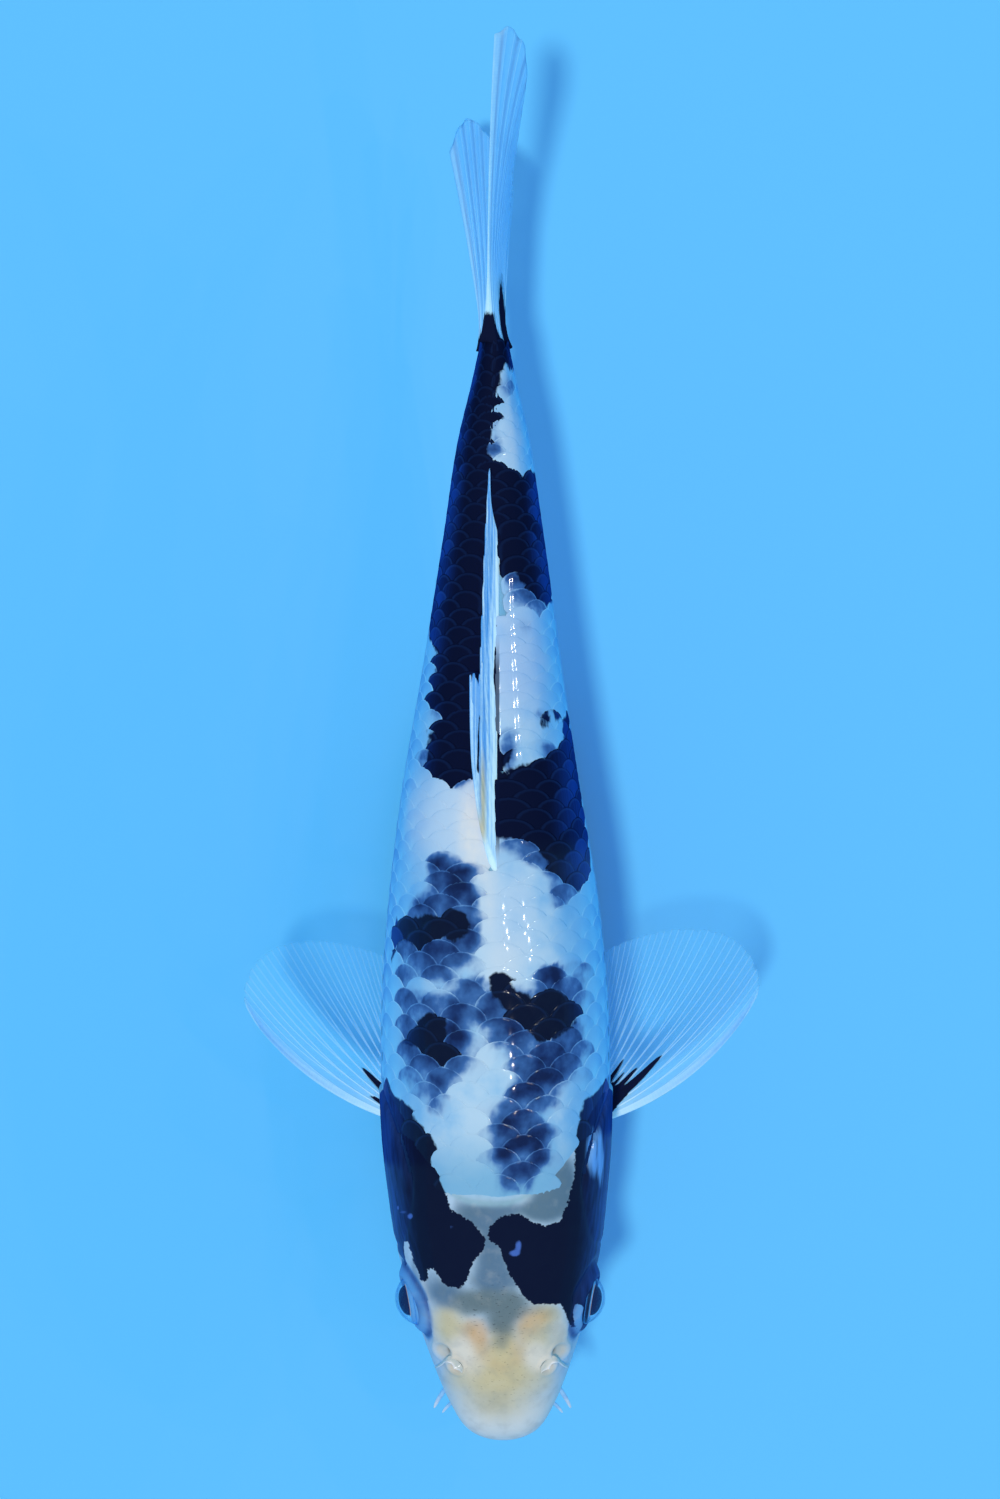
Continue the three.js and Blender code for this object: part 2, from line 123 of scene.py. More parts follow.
class Paint:
    """A node material in the making. Constant values are set straight on the shader's sockets."""

    def __init__(self, name, **constants):
        self.material = bpy.data.materials.new(name)
        self.material.use_nodes = True
        self.tree = self.material.node_tree
        self.shader = self.tree.nodes["Principled BSDF"]
        for socket, value in constants.items():
            self.shader.inputs[socket.replace("_", " ")].default_value = value

    def node(self, kind, settings, *inputs, output=0, **named):
        """Adds a node: its settings first, then its sockets by place or by name. Returns one output."""
        made = self.tree.nodes.new(kind)
        for key, value in settings.items():
            setattr(made, key, value)
        for key, value in [*enumerate(inputs), *named.items()]:
            socket = made.inputs[key.replace("_", " ") if isinstance(key, str) else key]
            if isinstance(value, Signal):
                self.tree.links.new(value.socket, socket)
            elif value is not None:
                socket.default_value = value
        return Signal(self, made.outputs[output])

    def field(self, name):
        """A value kept on the mesh's points under this name."""
        return self.node("ShaderNodeAttribute", {"attribute_name": name}, output="Fac")

    def place(self):
        """The point of the surface in metres."""
        return self.node("ShaderNodeTexCoord", {}, output="Object")

    def drawn_out(self, *cells):
        """Points for a noise with its own number of cells to the metre along x, y and z."""
        return self.node("ShaderNodeVectorMath", {"operation": "MULTIPLY"}, self.place(), cells)

    def noise(self, scale, detail=2.0, where=None):
        """Fractal noise from 0 to 1, with its grain scale cells to the metre."""
        return self.node("ShaderNodeTexNoise", {}, Vector=where or self.place(), Scale=scale, Detail=detail)

    def blend(self, share, first, second):
        """The first colour where share is 0 and the second where it is 1."""
        colours = [c if isinstance(c, Signal) else linear(c) for c in (first, second)]
        mixed = {"data_type": "RGBA"}
        made = self.node("ShaderNodeMix", mixed, share, output=2)
        for slot, colour in zip((6, 7), colours):
            socket = made.socket.node.inputs[slot]
            if isinstance(colour, Signal):
                self.tree.links.new(colour.socket, socket)
            else:
                socket.default_value = colour
        return made

    def bump(self, height, depth, strength=1.0):
        """A surface roughened by height, from 0 to 1, over a depth in metres."""
        return self.node("ShaderNodeBump", {}, Height=height, Distance=depth, Strength=strength)

    def feed(self, **signals):
        """Links signals to the shader's sockets of the same names and returns the finished material."""
        for name, value in signals.items():
            self.tree.links.new(value.socket, self.shader.inputs[name.replace("_", " ")])
        return self.material


def add_mesh(name, points, faces, material, fields=None, maps=None):
    """A smooth-shaded mesh object from points in millimetres and one or more arrays of faces.

    fields holds one number per point under each name, and maps holds (u, v) per point.
    """
    groups = [np.asarray(group) for group in (faces if isinstance(faces, tuple) else (faces,))]
    corners = np.concatenate([group.ravel() for group in groups])
    sizes = np.concatenate([np.full(len(group), group.shape[1]) for group in groups])
    mesh = bpy.data.meshes.new(name)
    mesh.vertices.add(len(points))
    mesh.vertices.foreach_set("co", (np.asarray(points, float) * MM).ravel())
    mesh.loops.add(len(corners))
    mesh.loops.foreach_set("vertex_index", corners)
    mesh.polygons.add(len(sizes))
    mesh.polygons.foreach_set("loop_start", np.cumsum(sizes) - sizes)
    mesh.polygons.foreach_set("use_smooth", np.ones(len(sizes), bool))
    mesh.update(calc_edges=True)
    for key, values in (fields or {}).items():
        kept = mesh.attributes.new(key, "FLOAT", "POINT")
        kept.data.foreach_set("value", np.ravel(values))
    for key, places in (maps or {}).items():
        layer = mesh.uv_layers.new(name=key)
        layer.data.foreach_set("uv", np.asarray(places).reshape(-1, 2)[corners].ravel())
    made = bpy.data.objects.new(name, mesh)
    bpy.context.collection.objects.link(made)
    made.data.materials.append(material)
    return made


def grid_faces(rows, columns, closed=False):
    """The faces between neighbouring points of a grid; closed joins each row's last point to its first."""
    row = np.arange(rows - 1)[:, None] * columns
    column = np.arange(columns if closed else columns - 1)[None, :]
    after = (column + 1) % columns
    corners = [row + column, row + after, row + columns + after, row + columns + column]
    return np.stack(corners, -1).reshape(-1, 4)


def add_studio():
    """The key lamp lights the surfaces, and only the small lamps are mirrored in their gloss."""
    scene = bpy.context.scene
    scene.view_settings.view_transform = "Standard"
    world = bpy.data.worlds.new("studio_air")
    world.use_nodes = True
    air = world.node_tree.nodes["Background"]
    air.inputs["Color"].default_value = AIR_COLOUR
    air.inputs["Strength"].default_value = AIR_STRENGTH
    scene.world = world
    lamps = [("key_light", KEY_STRENGTH, KEY_SOFTNESS, KEY_WAY)]
    lamps += [(f"glint_{k}", GLINT_STRENGTH, GLINT_SOFTNESS, way) for k, way in enumerate(GLINT_WAYS)]
    for name, strength, softness, way in lamps:
        lamp = bpy.data.lights.new(name, "SUN")
        lamp.energy = strength
        lamp.angle = softness
        lamp.color = KEY_COLOUR if name == "key_light" else GLINT_COLOUR
        made = bpy.data.objects.new(name, lamp)
        bpy.context.collection.objects.link(made)
        made.rotation_euler = Vector(way).to_track_quat("-Z", "Y").to_euler()
        made.visible_glossy = name != "key_light"
        made.visible_diffuse = name == "key_light"
    half = FLOOR_SIZE / 2 / MM
    corners = [(-half, -half, 0), (half, -half, 0), (half, half, 0), (-half, half, 0)]
    paint = Paint("floor_paint", Roughness=0.75)
    shade = paint.blend(paint.noise(1.5), FLOOR_COLOUR, tuple(c + FLOOR_SHADING for c in FLOOR_COLOUR))
    add_mesh("floor", corners, [(0, 1, 2, 3)], paint.feed(Base_Color=shade))


def add_camera(snout, axis):
    """Straight down over the middle of the fish, with the head at the foot of the picture."""
    camera = bpy.data.cameras.new("camera")
    camera.lens = CAMERA_LENS
    made = bpy.data.objects.new("camera", camera)
    bpy.context.collection.objects.link(made)
    made.location = (0.0, (snout + CAMERA_BEHIND_SNOUT) * MM, (axis + CAMERA_ABOVE_AXIS) * MM)
    bpy.context.scene.camera = made


add_studio()


# ------------------------------------------------------------------------------------------------------
# The body's form
# A koi's trunk is a long, slightly flattened spindle of muscle. Sections across it are rounded ovals,
# a little squarer on the head. The body bends a little to one side as it swims.
# ------------------------------------------------------------------------------------------------------

BODY_LENGTH = 311.0
EYE = {"distance": 42.0, "x": 21.5, "z": 5.5, "radius": 8.0}

eye_low, eye_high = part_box("eye_left")
SNOUT_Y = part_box("head")[0].y / MM
AXIS_Z = (eye_low.z + eye_high.z) / 2 / MM - EYE["z"]

# Each row: distance behind the snout, half-width, height of the back above the axis, height of the
# belly, height of the widest level, and the sideways bend of the swimming body.
SECTIONS = np.array([
    [0, 0, -7, -7, -7, 0.8],
    [3, 9.5, 1.5, -14, -7, 0.8],
    [11.5, 15.2, 8.5, -19.5, -7, 0.7],
    [23, 19.8, 16.5, -24, -6.5, 0.5],
    [40, 25.2, 25.5, -28.5, -5.5, 0.1],
    [63, 30.3, 34.5, -33, -4, -0.5],
    [85, 31.9, 40.5, -36.5, -2, -0.9],
    [119, 32.4, 45, -38.5, 1, -1.4],
    [153, 29.9, 45.5, -37.5, 3, -1.8],
    [187, 25.1, 40.5, -33.5, 3, -2.5],
    [221, 19.6, 33, -27, 2, -2.2],
    [258, 14.2, 25, -20.5, 1, -1.8],
    [287, 9.7, 20.5, -18, 0.5, -1.8],
    [301, 6.4, 20, -18, 0.3, -1.7],
    [311, 4.3, 21.5, -19.5, 0.5, -1.6],
])


def curve_through(points):
    """A smooth curve through (x, y) points: cubic pieces with the mean slopes of neighbouring chords."""
    x, y = np.array(points, float).T
    chord = np.diff(y) / np.diff(x)
    before, after = np.diff(x)[:-1], np.diff(x)[1:]
    inner = (chord[:-1] * after + chord[1:] * before) / (before + after)
    slope = np.concatenate([chord[:1], inner, chord[-1:]])

    def curve(at):
        i = np.clip(np.searchsorted(x, at) - 1, 0, len(x) - 2)
        width = x[i + 1] - x[i]
        t = np.clip((at - x[i]) / width, 0, 1)
        rise = (1 - t) ** 2 * t * slope[i] - (1 - t) * t**2 * slope[i + 1]
        return y[i] + (y[i + 1] - y[i]) * t * t * (3 - 2 * t) + rise * width

    return curve


def smooth_step(x, low, high):
    """0 below low, 1 above high, and 3t^2 - 2t^3 between."""
    t = np.clip((x - low) / (high - low), 0, 1)
    return t * t * (3 - 2 * t)


def rounded(distance):
    """The nose is round, so sections are joined along the square root of the distance from its tip."""
    return np.sqrt(np.clip(distance, 0, BODY_LENGTH) / BODY_LENGTH)


section_curves = [curve_through(np.c_[rounded(SECTIONS[:, 0]), column]) for column in SECTIONS.T[1:]]


def section(distance):
    """Half-width, back, belly, widest level and bend at a distance behind the snout."""
    return [curve(rounded(distance)) for curve in section_curves]


def squareness(distance):
    """The power of a section's sine and cosine: 0.82 on the head, where sections are squarer, then 1."""
    return 1 - 0.18 * (1 - smooth_step(distance, 40, 110))


def surface_point(distance, angle):
    """A point of the body, in millimetres: x = bend + w sin(a)^p, z = level + h cos(a)^p.

    The angle a runs from 0 on the back, by the fish's left side, to pi on the belly. p is the squareness.
    """
    width, back, belly, level, bend = section(distance)
    power = squareness(distance)
    across, up = np.sin(angle), np.cos(angle)
    rise = np.where(up > 0, back - level, level - belly)
    x = bend + width * np.sign(across) * np.abs(across) ** power
    z = level + rise * np.sign(up) * np.abs(up) ** power
    return np.stack([x, SNOUT_Y + distance, AXIS_Z + z], -1)


def cross(a, b):
    """Unit vectors square to a and b."""
    made = np.cross(a, b)
    return made / np.maximum(np.linalg.norm(made, axis=-1, keepdims=True), 1e-9)


def body_point(distance, angle, height):
    """The point of the body moved out along the surface's normal by a height in millimetres."""
    distance, angle, height = np.broadcast_arrays(distance, angle, height)
    reach, turn = 0.4, 0.01
    near = np.clip(distance, reach, BODY_LENGTH)
    along = surface_point(near + reach, angle) - surface_point(near - reach * (near > 2 * reach), angle)
    around = surface_point(near, angle + turn) - surface_point(near, angle - turn)
    return surface_point(distance, angle) + cross(around, along) * height[..., None]


add_camera(SNOUT_Y, AXIS_Z)


# ------------------------------------------------------------------------------------------------------
# The rows of scales
# Scales lie in slanting rows. The lateral line runs along the middle of the side, with seven rows of
# scales over it at the shoulder and fewer towards the tail.
# ------------------------------------------------------------------------------------------------------

STATIONS = np.linspace(0.5, BODY_LENGTH, 320)
ARC_STEPS = 181
LINE_ANGLE = curve_through([(0, 74), (100, 77), (150, 86), (200, 90), (311, 91)])
ROWS_OVER = curve_through([(0, 7), (60, 7), (165, 7), (215, 5.9), (255, 5.1), (311, 4.6)])
ROWS_UNDER = curve_through([(0, 8), (60, 8), (165, 8), (215, 6.6), (255, 5.4), (311, 4.8)])
PITCH = curve_through([(0, 7.2), (60, 7.2), (115, 7.3), (175, 5.8), (230, 5.1), (311, 4.5)])

station_grid, angle_grid = np.meshgrid(STATIONS, np.linspace(0, np.pi, ARC_STEPS), indexing="ij")
ring_points = surface_point(station_grid, angle_grid)
ring_steps = np.linalg.norm(np.diff(ring_points, axis=1), axis=-1)
ring_arcs = np.concatenate([np.zeros((len(STATIONS), 1)), np.cumsum(ring_steps, axis=1)], axis=1)
half_girth = ring_arcs[:, -1]
line_angles = np.radians(LINE_ANGLE(STATIONS))
line_arc = np.array([np.interp(line, angle_grid[0], arcs) for line, arcs in zip(line_angles, ring_arcs)])
even_arcs = np.linspace(0, half_girth, ARC_STEPS, axis=1)
even_angles = np.array([np.interp(even, arcs, angle_grid[0]) for even, arcs in zip(even_arcs, ring_arcs)])


def looked_up(table, distance, share):
    """A value between the four nearest of a table kept at STATIONS, and at even shares of the half ring."""
    row = np.interp(distance, STATIONS, np.arange(len(STATIONS)))
    column = np.clip(share, 0, 1) * (ARC_STEPS - 1)
    i = np.clip(row.astype(int), 0, len(STATIONS) - 2)
    j = np.clip(column.astype(int), 0, ARC_STEPS - 2)
    a, b = row - i, column - j
    near = table[i, j] * (1 - b) + table[i, j + 1] * b
    far = table[i + 1, j] * (1 - b) + table[i + 1, j + 1] * b
    return near * (1 - a) + far * a


def angle_at(distance, arc):
    """The angle round the body at an arc in millimetres from the back, measured over the skin."""
    total = np.interp(distance, STATIONS, half_girth)
    wrapped = (arc + total) % (2 * total) - total
    return looked_up(even_angles, distance, np.abs(wrapped) / total) * np.where(wrapped < 0, -1, 1)


def arc_of_row(distance, row):
    """Arc from the back of a row of scales: row 0 is the lateral line, rows over it count upwards."""
    line = np.interp(distance, STATIONS, line_arc)
    total = np.interp(distance, STATIONS, half_girth)
    over = line * (1 - row / ROWS_OVER(distance))
    under = line - row * (total - line) / ROWS_UNDER(distance)
    return np.where(row >= 0, over, under)


def arc_at(distance, angle):
    """Arc in millimetres from the back to an angle from 0 to pi."""
    return looked_up(ring_arcs, distance, np.abs(angle) / np.pi)


# ------------------------------------------------------------------------------------------------------
# The markings
# Black pigment lies in patches over the white ground, and young black shows through it as blue-grey. The
# patches are outlined as they look from straight above, with x towards the fish's left and the distance
# behind its snout. Down the sides x goes on over the skin.
# ------------------------------------------------------------------------------------------------------

TURN = np.radians(62)  # beyond this angle from the back, x is measured over the skin
VIEW_REACH = 1506.4  # depth below the viewing point at which the outlines are drawn to scale
VIEW_MIDDLE = 196.0  # distance behind the snout that lies right under it, in the outlines


def seen_from_above(points):
    """x and distance behind the snout at which points are seen: both grow by reach / depth below."""
    closer = VIEW_REACH / (CAMERA_ABOVE_AXIS + AXIS_Z - points[..., 2])
    return points[..., 0] * closer, VIEW_MIDDLE + (points[..., 1] - SNOUT_Y - CAMERA_BEHIND_SNOUT) * closer


def unrolled(distance, angle):
    """x and distance as seen from above; beyond the turn, x goes on down the side over the skin."""
    x, seen = seen_from_above(surface_point(distance, np.clip(angle, -TURN, TURN)))
    beyond = np.maximum(arc_at(distance, np.abs(angle)) - arc_at(distance, TURN + 0 * angle), 0)
    return x + np.sign(angle) * beyond, seen


def inside_depth(x, y, outline):
    """Signed distance in millimetres to a closed outline: above zero inside it."""
    corners = np.array(outline, float)
    after = np.roll(corners, -1, axis=0)
    least = np.full(x.shape, 1e9)
    inside = np.zeros(x.shape, bool)
    for (x0, y0), (x1, y1) in zip(corners, after):
        span = (x1 - x0) ** 2 + (y1 - y0) ** 2
        t = np.clip(((x - x0) * (x1 - x0) + (y - y0) * (y1 - y0)) / span, 0, 1)
        least = np.minimum(least, (x - x0 - t * (x1 - x0)) ** 2 + (y - y0 - t * (y1 - y0)) ** 2)
        crosses = (y0 > y) != (y1 > y)
        run = np.where(crosses, (x1 - x0) * (y - y0) / np.where(y1 == y0, 1, y1 - y0) + x0, x)
        inside ^= crosses & (x < run)
    return np.sqrt(least) * np.where(inside, 1, -1)


BLACK_PATCHES = {
    "rear": [
        (-3, 190), (-8, 189), (-11.5, 185.5), (-15, 187.5), (-21.5, 190), (-20.4, 200), (-17, 206),
        (-20.7, 209), (-19.5, 216), (-19, 224), (-25, 226), (-31, 234), (-34, 250), (-36, 280),
        (-30, 312), (30, 312), (24, 303), (2.8, 303.5), (0.9, 306), (0.3, 298), (0, 292), (-2, 289),
        (-2.3, 283.5), (-3.4, 280), (0, 277), (2.3, 276), (6.2, 274), (7, 276), (10, 274.5), (20, 276),
        (27, 266), (30, 250), (24, 238), (15, 236.7), (11, 239), (8.8, 241.8), (6.2, 243), (4, 246.6),
        (-1.2, 246.5), (-3, 245),
    ],
    "left_flank": [
        (-3, 189), (3.4, 190), (5.7, 193), (12.8, 192.5), (14, 195.3), (17.6, 199.3), (19.8, 204),
        (26, 207), (33, 200), (36, 185), (35, 168), (31, 160), (27, 159.5), (23, 157), (17.6, 159),
        (13.6, 164), (8.5, 169), (5.7, 172), (-3, 173.5),
    ],
    "fin_side": [(-1.5, 189), (4.3, 191), (4.3, 197), (2.3, 201), (2, 207), (-1.5, 207)],
    "flank_spot_front": [(10.8, 203), (12.5, 207.5), (14.6, 206), (13.6, 201.5)],
    "flank_spot_rear": [(14.5, 207), (16.5, 209.5), (17.6, 205), (15.5, 203.5)],
    "right_shoulder": [
        (-31, 139), (-30, 146), (-27, 147.5), (-23.5, 149), (-19, 149), (-14.5, 150.5), (-10, 149.5),
        (-9, 147), (-8.5, 143.5), (-12, 141.5), (-15.5, 142.5), (-20, 141), (-24, 138.5), (-26.5, 140.5),
    ],
    "right_flank_sliver": [(-29.5, 150), (-32.5, 147), (-33.5, 135), (-30.5, 137), (-28.5, 144)],
    "left_saddle": [
        (-2.6, 131.3), (-0.3, 132.4), (4.4, 130.7), (5.8, 127.9), (9.6, 126.7), (13.6, 127.3),
        (18.3, 124.5), (21.3, 124.5), (23.8, 120.8), (21.5, 116.2), (18.1, 115.1), (12.5, 111.7),
        (9.6, 112.8), (6.8, 116.2), (2.6, 120.4), (-1.6, 126.5),
    ],
    "right_saddle": [
        (-20.4, 121.9), (-15.3, 120.8), (-16.4, 116.2), (-14.2, 113.4), (-12.5, 109.9), (-16.4, 106.6),
        (-22.1, 109.9), (-28.4, 112.8), (-26.4, 116.8), (-23.2, 119.6),
    ],
    "right_cheek": [
        (-28.4, 97), (-24.1, 93.8), (-21, 89.6), (-19.6, 85.3), (-17.9, 81.1), (-16.7, 74), (-15, 69.7),
        (-13.6, 65.5), (-9.1, 62.7), (-6.2, 59.8), (-4.5, 57.5), (-4.8, 54.1), (-7.1, 51.3), (-8.5, 48.5),
        (-9.6, 45.1), (-11.6, 43.4), (-14.7, 43.9), (-16.7, 45.4), (-19, 48.8), (-20.4, 48.5),
        (-20.7, 45.6), (-22.4, 45.1), (-24.3, 50.7), (-25.2, 54.1), (-26.2, 56.6), (-27.9, 56),
        (-28.3, 50.5), (-30, 49), (-38, 52), (-48, 62), (-52, 80), (-48, 96), (-36, 103),
    ],
    "left_cheek": [
        (24, 97), (21.8, 88.2), (21.3, 82.5), (21, 74), (19.8, 68.3), (17.9, 64.1), (17, 62.1), (12.8, 61),
        (9.4, 62.1), (7.9, 63.5), (5.1, 64.4), (1.4, 64.1), (-0.6, 62.9), (-2.8, 60.7), (-3.4, 58.4),
        (-2.3, 56.7), (-0.6, 55.6), (0.6, 53.6), (1.4, 50.7), (2.3, 47.9), (4.3, 44.8), (5.7, 42),
        (7.7, 40), (9.9, 38.8), (17, 38.8), (18.1, 37.1), (19, 34.3), (20.4, 32), (23, 31.5), (30, 31),
        (40, 36), (47, 50), (52, 72), (48, 96), (34, 103),
    ],
}
# Young black under the scales, at about half depth inside these outlines.
YOUNG_BLACK = {
    "right_shoulder": [
        (-16.5, 165.5), (-20, 164), (-20, 157), (-24.5, 154), (-29, 148.5), (-31, 143), (-29.5, 139),
        (-31, 134), (-29, 129), (-24, 131.5), (-18, 129.8), (-13, 131), (-9.5, 134), (-8, 139), (-6, 141),
        (-5.5, 147), (-6, 153), (-8.5, 158), (-11, 162), (-13.5, 163.5),
    ],
    "saddle": [
        (-27, 127.5), (-20, 127), (-17, 124.5), (-11, 129), (-10.5, 131), (-5, 131), (-3, 128.5),
        (6, 129), (9.5, 127), (10.5, 134), (14, 134.5), (18.5, 132), (24, 135), (24.5, 128), (25, 122),
        (24, 113), (22, 106), (18, 98), (13, 93), (15, 88), (14.5, 83), (12, 77), (9, 70), (0, 69),
        (-1, 76), (-2.5, 84), (-2.5, 90), (0, 95), (3, 100), (4.5, 104), (1, 108), (-2, 112), (-3, 117),
        (-7, 117.5), (-8.5, 112), (-10, 106), (-14, 102), (-17, 97), (-16, 92.5), (-20, 92), (-23, 98),
        (-27, 105), (-29.5, 112), (-28.5, 119), (-29, 125),
    ],
    "left_loin": [
        (-0.5, 173), (0, 169), (4, 164.5), (10, 162), (14, 158.5), (15.5, 152), (19, 150.5), (20, 155),
        (22, 160), (14, 166), (12, 172), (6, 173.5),
    ],
    "right_loin": [
        (-23, 194), (-22, 190), (-16, 189), (-12, 185.5), (-9, 188), (-8.5, 192), (-14, 197), (-18, 203),
        (-21, 214), (-18, 214), (-15, 205), (-18, 197),
    ],
    "left_rear": [
        (-0.5, 246), (2, 247.5), (5, 246.5), (9, 243), (12, 238), (15, 236), (12, 234), (7, 238),
        (2, 243),
    ],
    "stalk": [
        (-3.8, 291), (-0.5, 292), (-0.5, 286), (1, 282), (0.8, 279), (-3.8, 279.5), (-3, 284),
        (-5.5, 287),
    ],
}
# Deeper young black, as soft spots: x, distance, half-width across, half-length along, depth.
SHADES = [
    (-16.5, 163, 3.5, 3, 0.9), (-11, 161, 3.5, 2.6, 0.9), (-16, 158, 3.5, 3, 0.75),
    (-10, 158, 2.6, 2.4, 0.7), (-12, 154.5, 4, 3, 0.8), (-22.5, 152, 3, 2.4, 0.45),
    (-8.5, 152.5, 2.4, 3.6, 0.5), (-16, 151.5, 5, 3, 0.45), (-9, 145, 3, 4, 0.8), (-17, 137, 4, 3.5, 0.6),
    (-22.5, 139.5, 4, 3, 0.6), (-10, 138.5, 3, 3, 0.35), (-17, 131, 3, 2.5, 0.35),
    (-7.8, 129.5, 3.6, 2.4, 0.8), (-26.5, 127, 3, 2.5, 0.3), (-21.5, 124.5, 4, 2.6, 0.75),
    (-13.5, 123.5, 4.5, 3, 0.65), (-26, 121, 2.4, 2.6, 0.35), (-12.4, 115.5, 4.4, 3.6, 0.8),
    (-1, 122.5, 4.5, 3.6, 0.7), (-18, 109.5, 6, 3.4, 0.75), (-24.5, 113.5, 3.2, 3, 0.7),
    (-24.5, 105.5, 3.6, 3.4, 0.5), (-11.5, 108, 3.4, 3.4, 0.4), (-18, 101, 2.6, 4, 0.5),
    (-17, 96, 2.4, 4, 0.3), (4.5, 116.5, 5, 3.4, 0.7), (8, 108.5, 4, 3, 0.3), (13, 109.5, 5, 3.2, 0.75),
    (20.5, 113, 3.6, 4, 0.55), (10.5, 102.8, 5, 3, 0.95), (18, 105, 3.4, 3, 0.4),
    (5.2, 98.6, 3.6, 2.6, 0.65), (4, 92.5, 5, 3.2, 0.9), (0, 89, 2.6, 3, 0.5), (11, 85.5, 4, 4.2, 0.9),
    (5, 83.5, 3.8, 2.8, 0.95), (0.5, 81, 2.4, 4, 0.45), (5.5, 77, 4, 3, 0.75),
    (11.5, 79.5, 2.6, 2.6, 0.75), (2.7, 72, 3, 3, 0.35), (14.2, 132.3, 3.8, 2.6, 0.8),
    (21.5, 134, 2.8, 2.2, 0.3), (12, 96, 3.4, 3, 0.35), (13, 129, 4, 3, 0.4), (9.5, 171.5, 4, 2.8, 0.6),
    (3.5, 172, 3, 2, 0.3), (16, 163.5, 3, 3, 0.4), (16.5, 155, 3.4, 4, 0.25), (4.5, 240, 2.6, 2.6, 0.5),
    (6.5, 231, 2.6, 2.6, 0.25), (4, 244.5, 3, 2.4, 0.5), (9, 240, 3, 3, 0.35),
    (-11.5, 188.5, 3.4, 3.4, 0.6), (-15, 195, 5, 2.5, 0.7), (-19.5, 190.5, 3, 3, 0.35),
    (-17, 208.5, 4, 3, 0.6), (2.5, 197.5, 2.6, 4, 0.8), (2.5, 192.5, 2.4, 2.4, 0.7),
    (13.5, 195.5, 2.4, 2, 0.7), (11.5, 206, 2, 1.6, 0.5), (-2, 290.5, 2, 2, 0.5),
    (-1.5, 281.5, 2, 2.4, 0.5), (2, 299, 2.6, 3, 0.3), (24, 108, 3, 9, 0.15),
]
# Tints of the white ground, as soft spots like the ones above.
BLUSHES = [(6, 222, 8, 18, 0.8), (-11, 176, 8, 11, 0.7), (3, 150, 7, 14, 0.3), (4, 285, 5, 10, 0.3)]
PEARLS = [(-17, 177, 10, 13, 0.85), (-10, 166, 5, 6, 0.4), (2, 140, 9, 22, 0.35)]
CREAMS = [
    (-8.5, 174, 3.4, 13, 0.9), (-5, 167, 3.4, 9, 0.6), (-3.5, 154, 2.6, 10, 0.4), (1, 136, 5, 8, 0.25),
]


def patch_depth(patches, x, distance):
    """Signed distance to the nearest of several patches, above zero inside."""
    return np.max([inside_depth(x, distance, outline) for outline in patches.values()], axis=0)


def spot_depth(spots, x, distance):
    """Overlapping soft spots: 1 minus the product of (1 - depth * bell) over all of them."""
    clear = np.ones(np.broadcast(x, distance).shape)
    for middle, along, wide, long, depth in spots:
        reach = ((x - middle) / wide) ** 2 + ((distance - along) / long) ** 2
        clear = clear * (1 - depth * np.exp(-(reach**1.5) * 0.9))
    return 1 - clear


def young_depth(x, distance):
    """Young black from 0 to 1: 0.45 inside its outlines, and deeper where a soft spot lies on it."""
    broad = 0.45 * smooth_step(patch_depth(YOUNG_BLACK, x, distance), -1.2, 2.2)
    return 1 - (1 - broad) * (1 - spot_depth(SHADES, x, distance))


# ------------------------------------------------------------------------------------------------------
# The skin
# Bare skin covers the head and runs on under the scales. The gill covers are plates beneath it, with a
# slit behind them. Two pairs of openings lead to the nostrils, and the lips fold round a low mouth.
# ------------------------------------------------------------------------------------------------------

COAT_DEPTH = 0.5  # how far the skin sinks under the scales
SKIN_COLUMNS = 256
NOSE_ROWS, NOSE_END = 26, 9
HEAD_STEP, HEAD_END = 0.5, 112
TRUNK_ROWS = 74
# Heights and depths of the skin's features, in millimetres over and under the body's form.
COVER_RISE = 0.75
COVER_END = 106  # behind this distance there is no gill cover
SLIT_DEPTH = 1.5
COVER_SEAM = 0.3
CHEEK_SEAM = 0.35
LID_RISE, LID_RADIUS, LID_WIDTH = 1.5, 7.6, 2.0
LID_FURROW, FURROW_RADIUS = 0.5, 11.6
SOCKET_DEPTH = 5.0
NOSTRIL_DEPTH, NOSTRIL_RIM = 0.9, 0.45
MOUTH_DEPTH, LIP_RISE, LIP_CREASE = 1.5, 0.55, 0.32
# Where the bare head ends and the scales begin, against the angle from the back in degrees.
SCALED_FROM = curve_through([
    (0, 74), (20, 75), (38, 84), (52, 93.5), (66, 100.5), (80, 103), (105, 103), (128, 98), (150, 90),
    (180, 86),
])
# The edge of the gill cover: distance, height over the axis.
COVER_EDGE = [
    (57, 9), (63, 20), (77, 25), (91, 20), (101, 8), (102, -6), (96, -19), (84, -30), (68, -27),
    (58, -11),
]
# The pale edge where the scales begin on the nape: x, distance.
NAPE_LINE = curve_through([
    (-20, 76), (-14, 70.5), (-10, 68.4), (-4, 67.4), (3, 67.6), (8, 69.8), (14, 75.5), (20, 84),
])
# The plate of the cheek: distance, height over the axis.
CHEEK_PLATE = [(52, -6), (60, 2), (66, -8), (64, -22), (54, -26), (46, -18)]
# The mouth's slit and the crease behind the upper lip: x from the middle, distance, height over the axis.
MOUTH_LINE = [(0, 0.9, -12.2), (6, 2.6, -12.6), (11, 7.0, -13.6), (13.6, 12.5, -15.4), (14.2, 16.0, -17.8)]
CREASE_LINE = [(0, 2.4, -2.2), (6, 4.0, -3.2), (11, 8.0, -5.5), (14.6, 13.5, -10)]
# The openings of the nostrils: x from the middle, distance, radius.
NOSTRILS = {"front": (12.9, 23.4, 2.2), "rear": (16.4, 27.5, 2.5)}
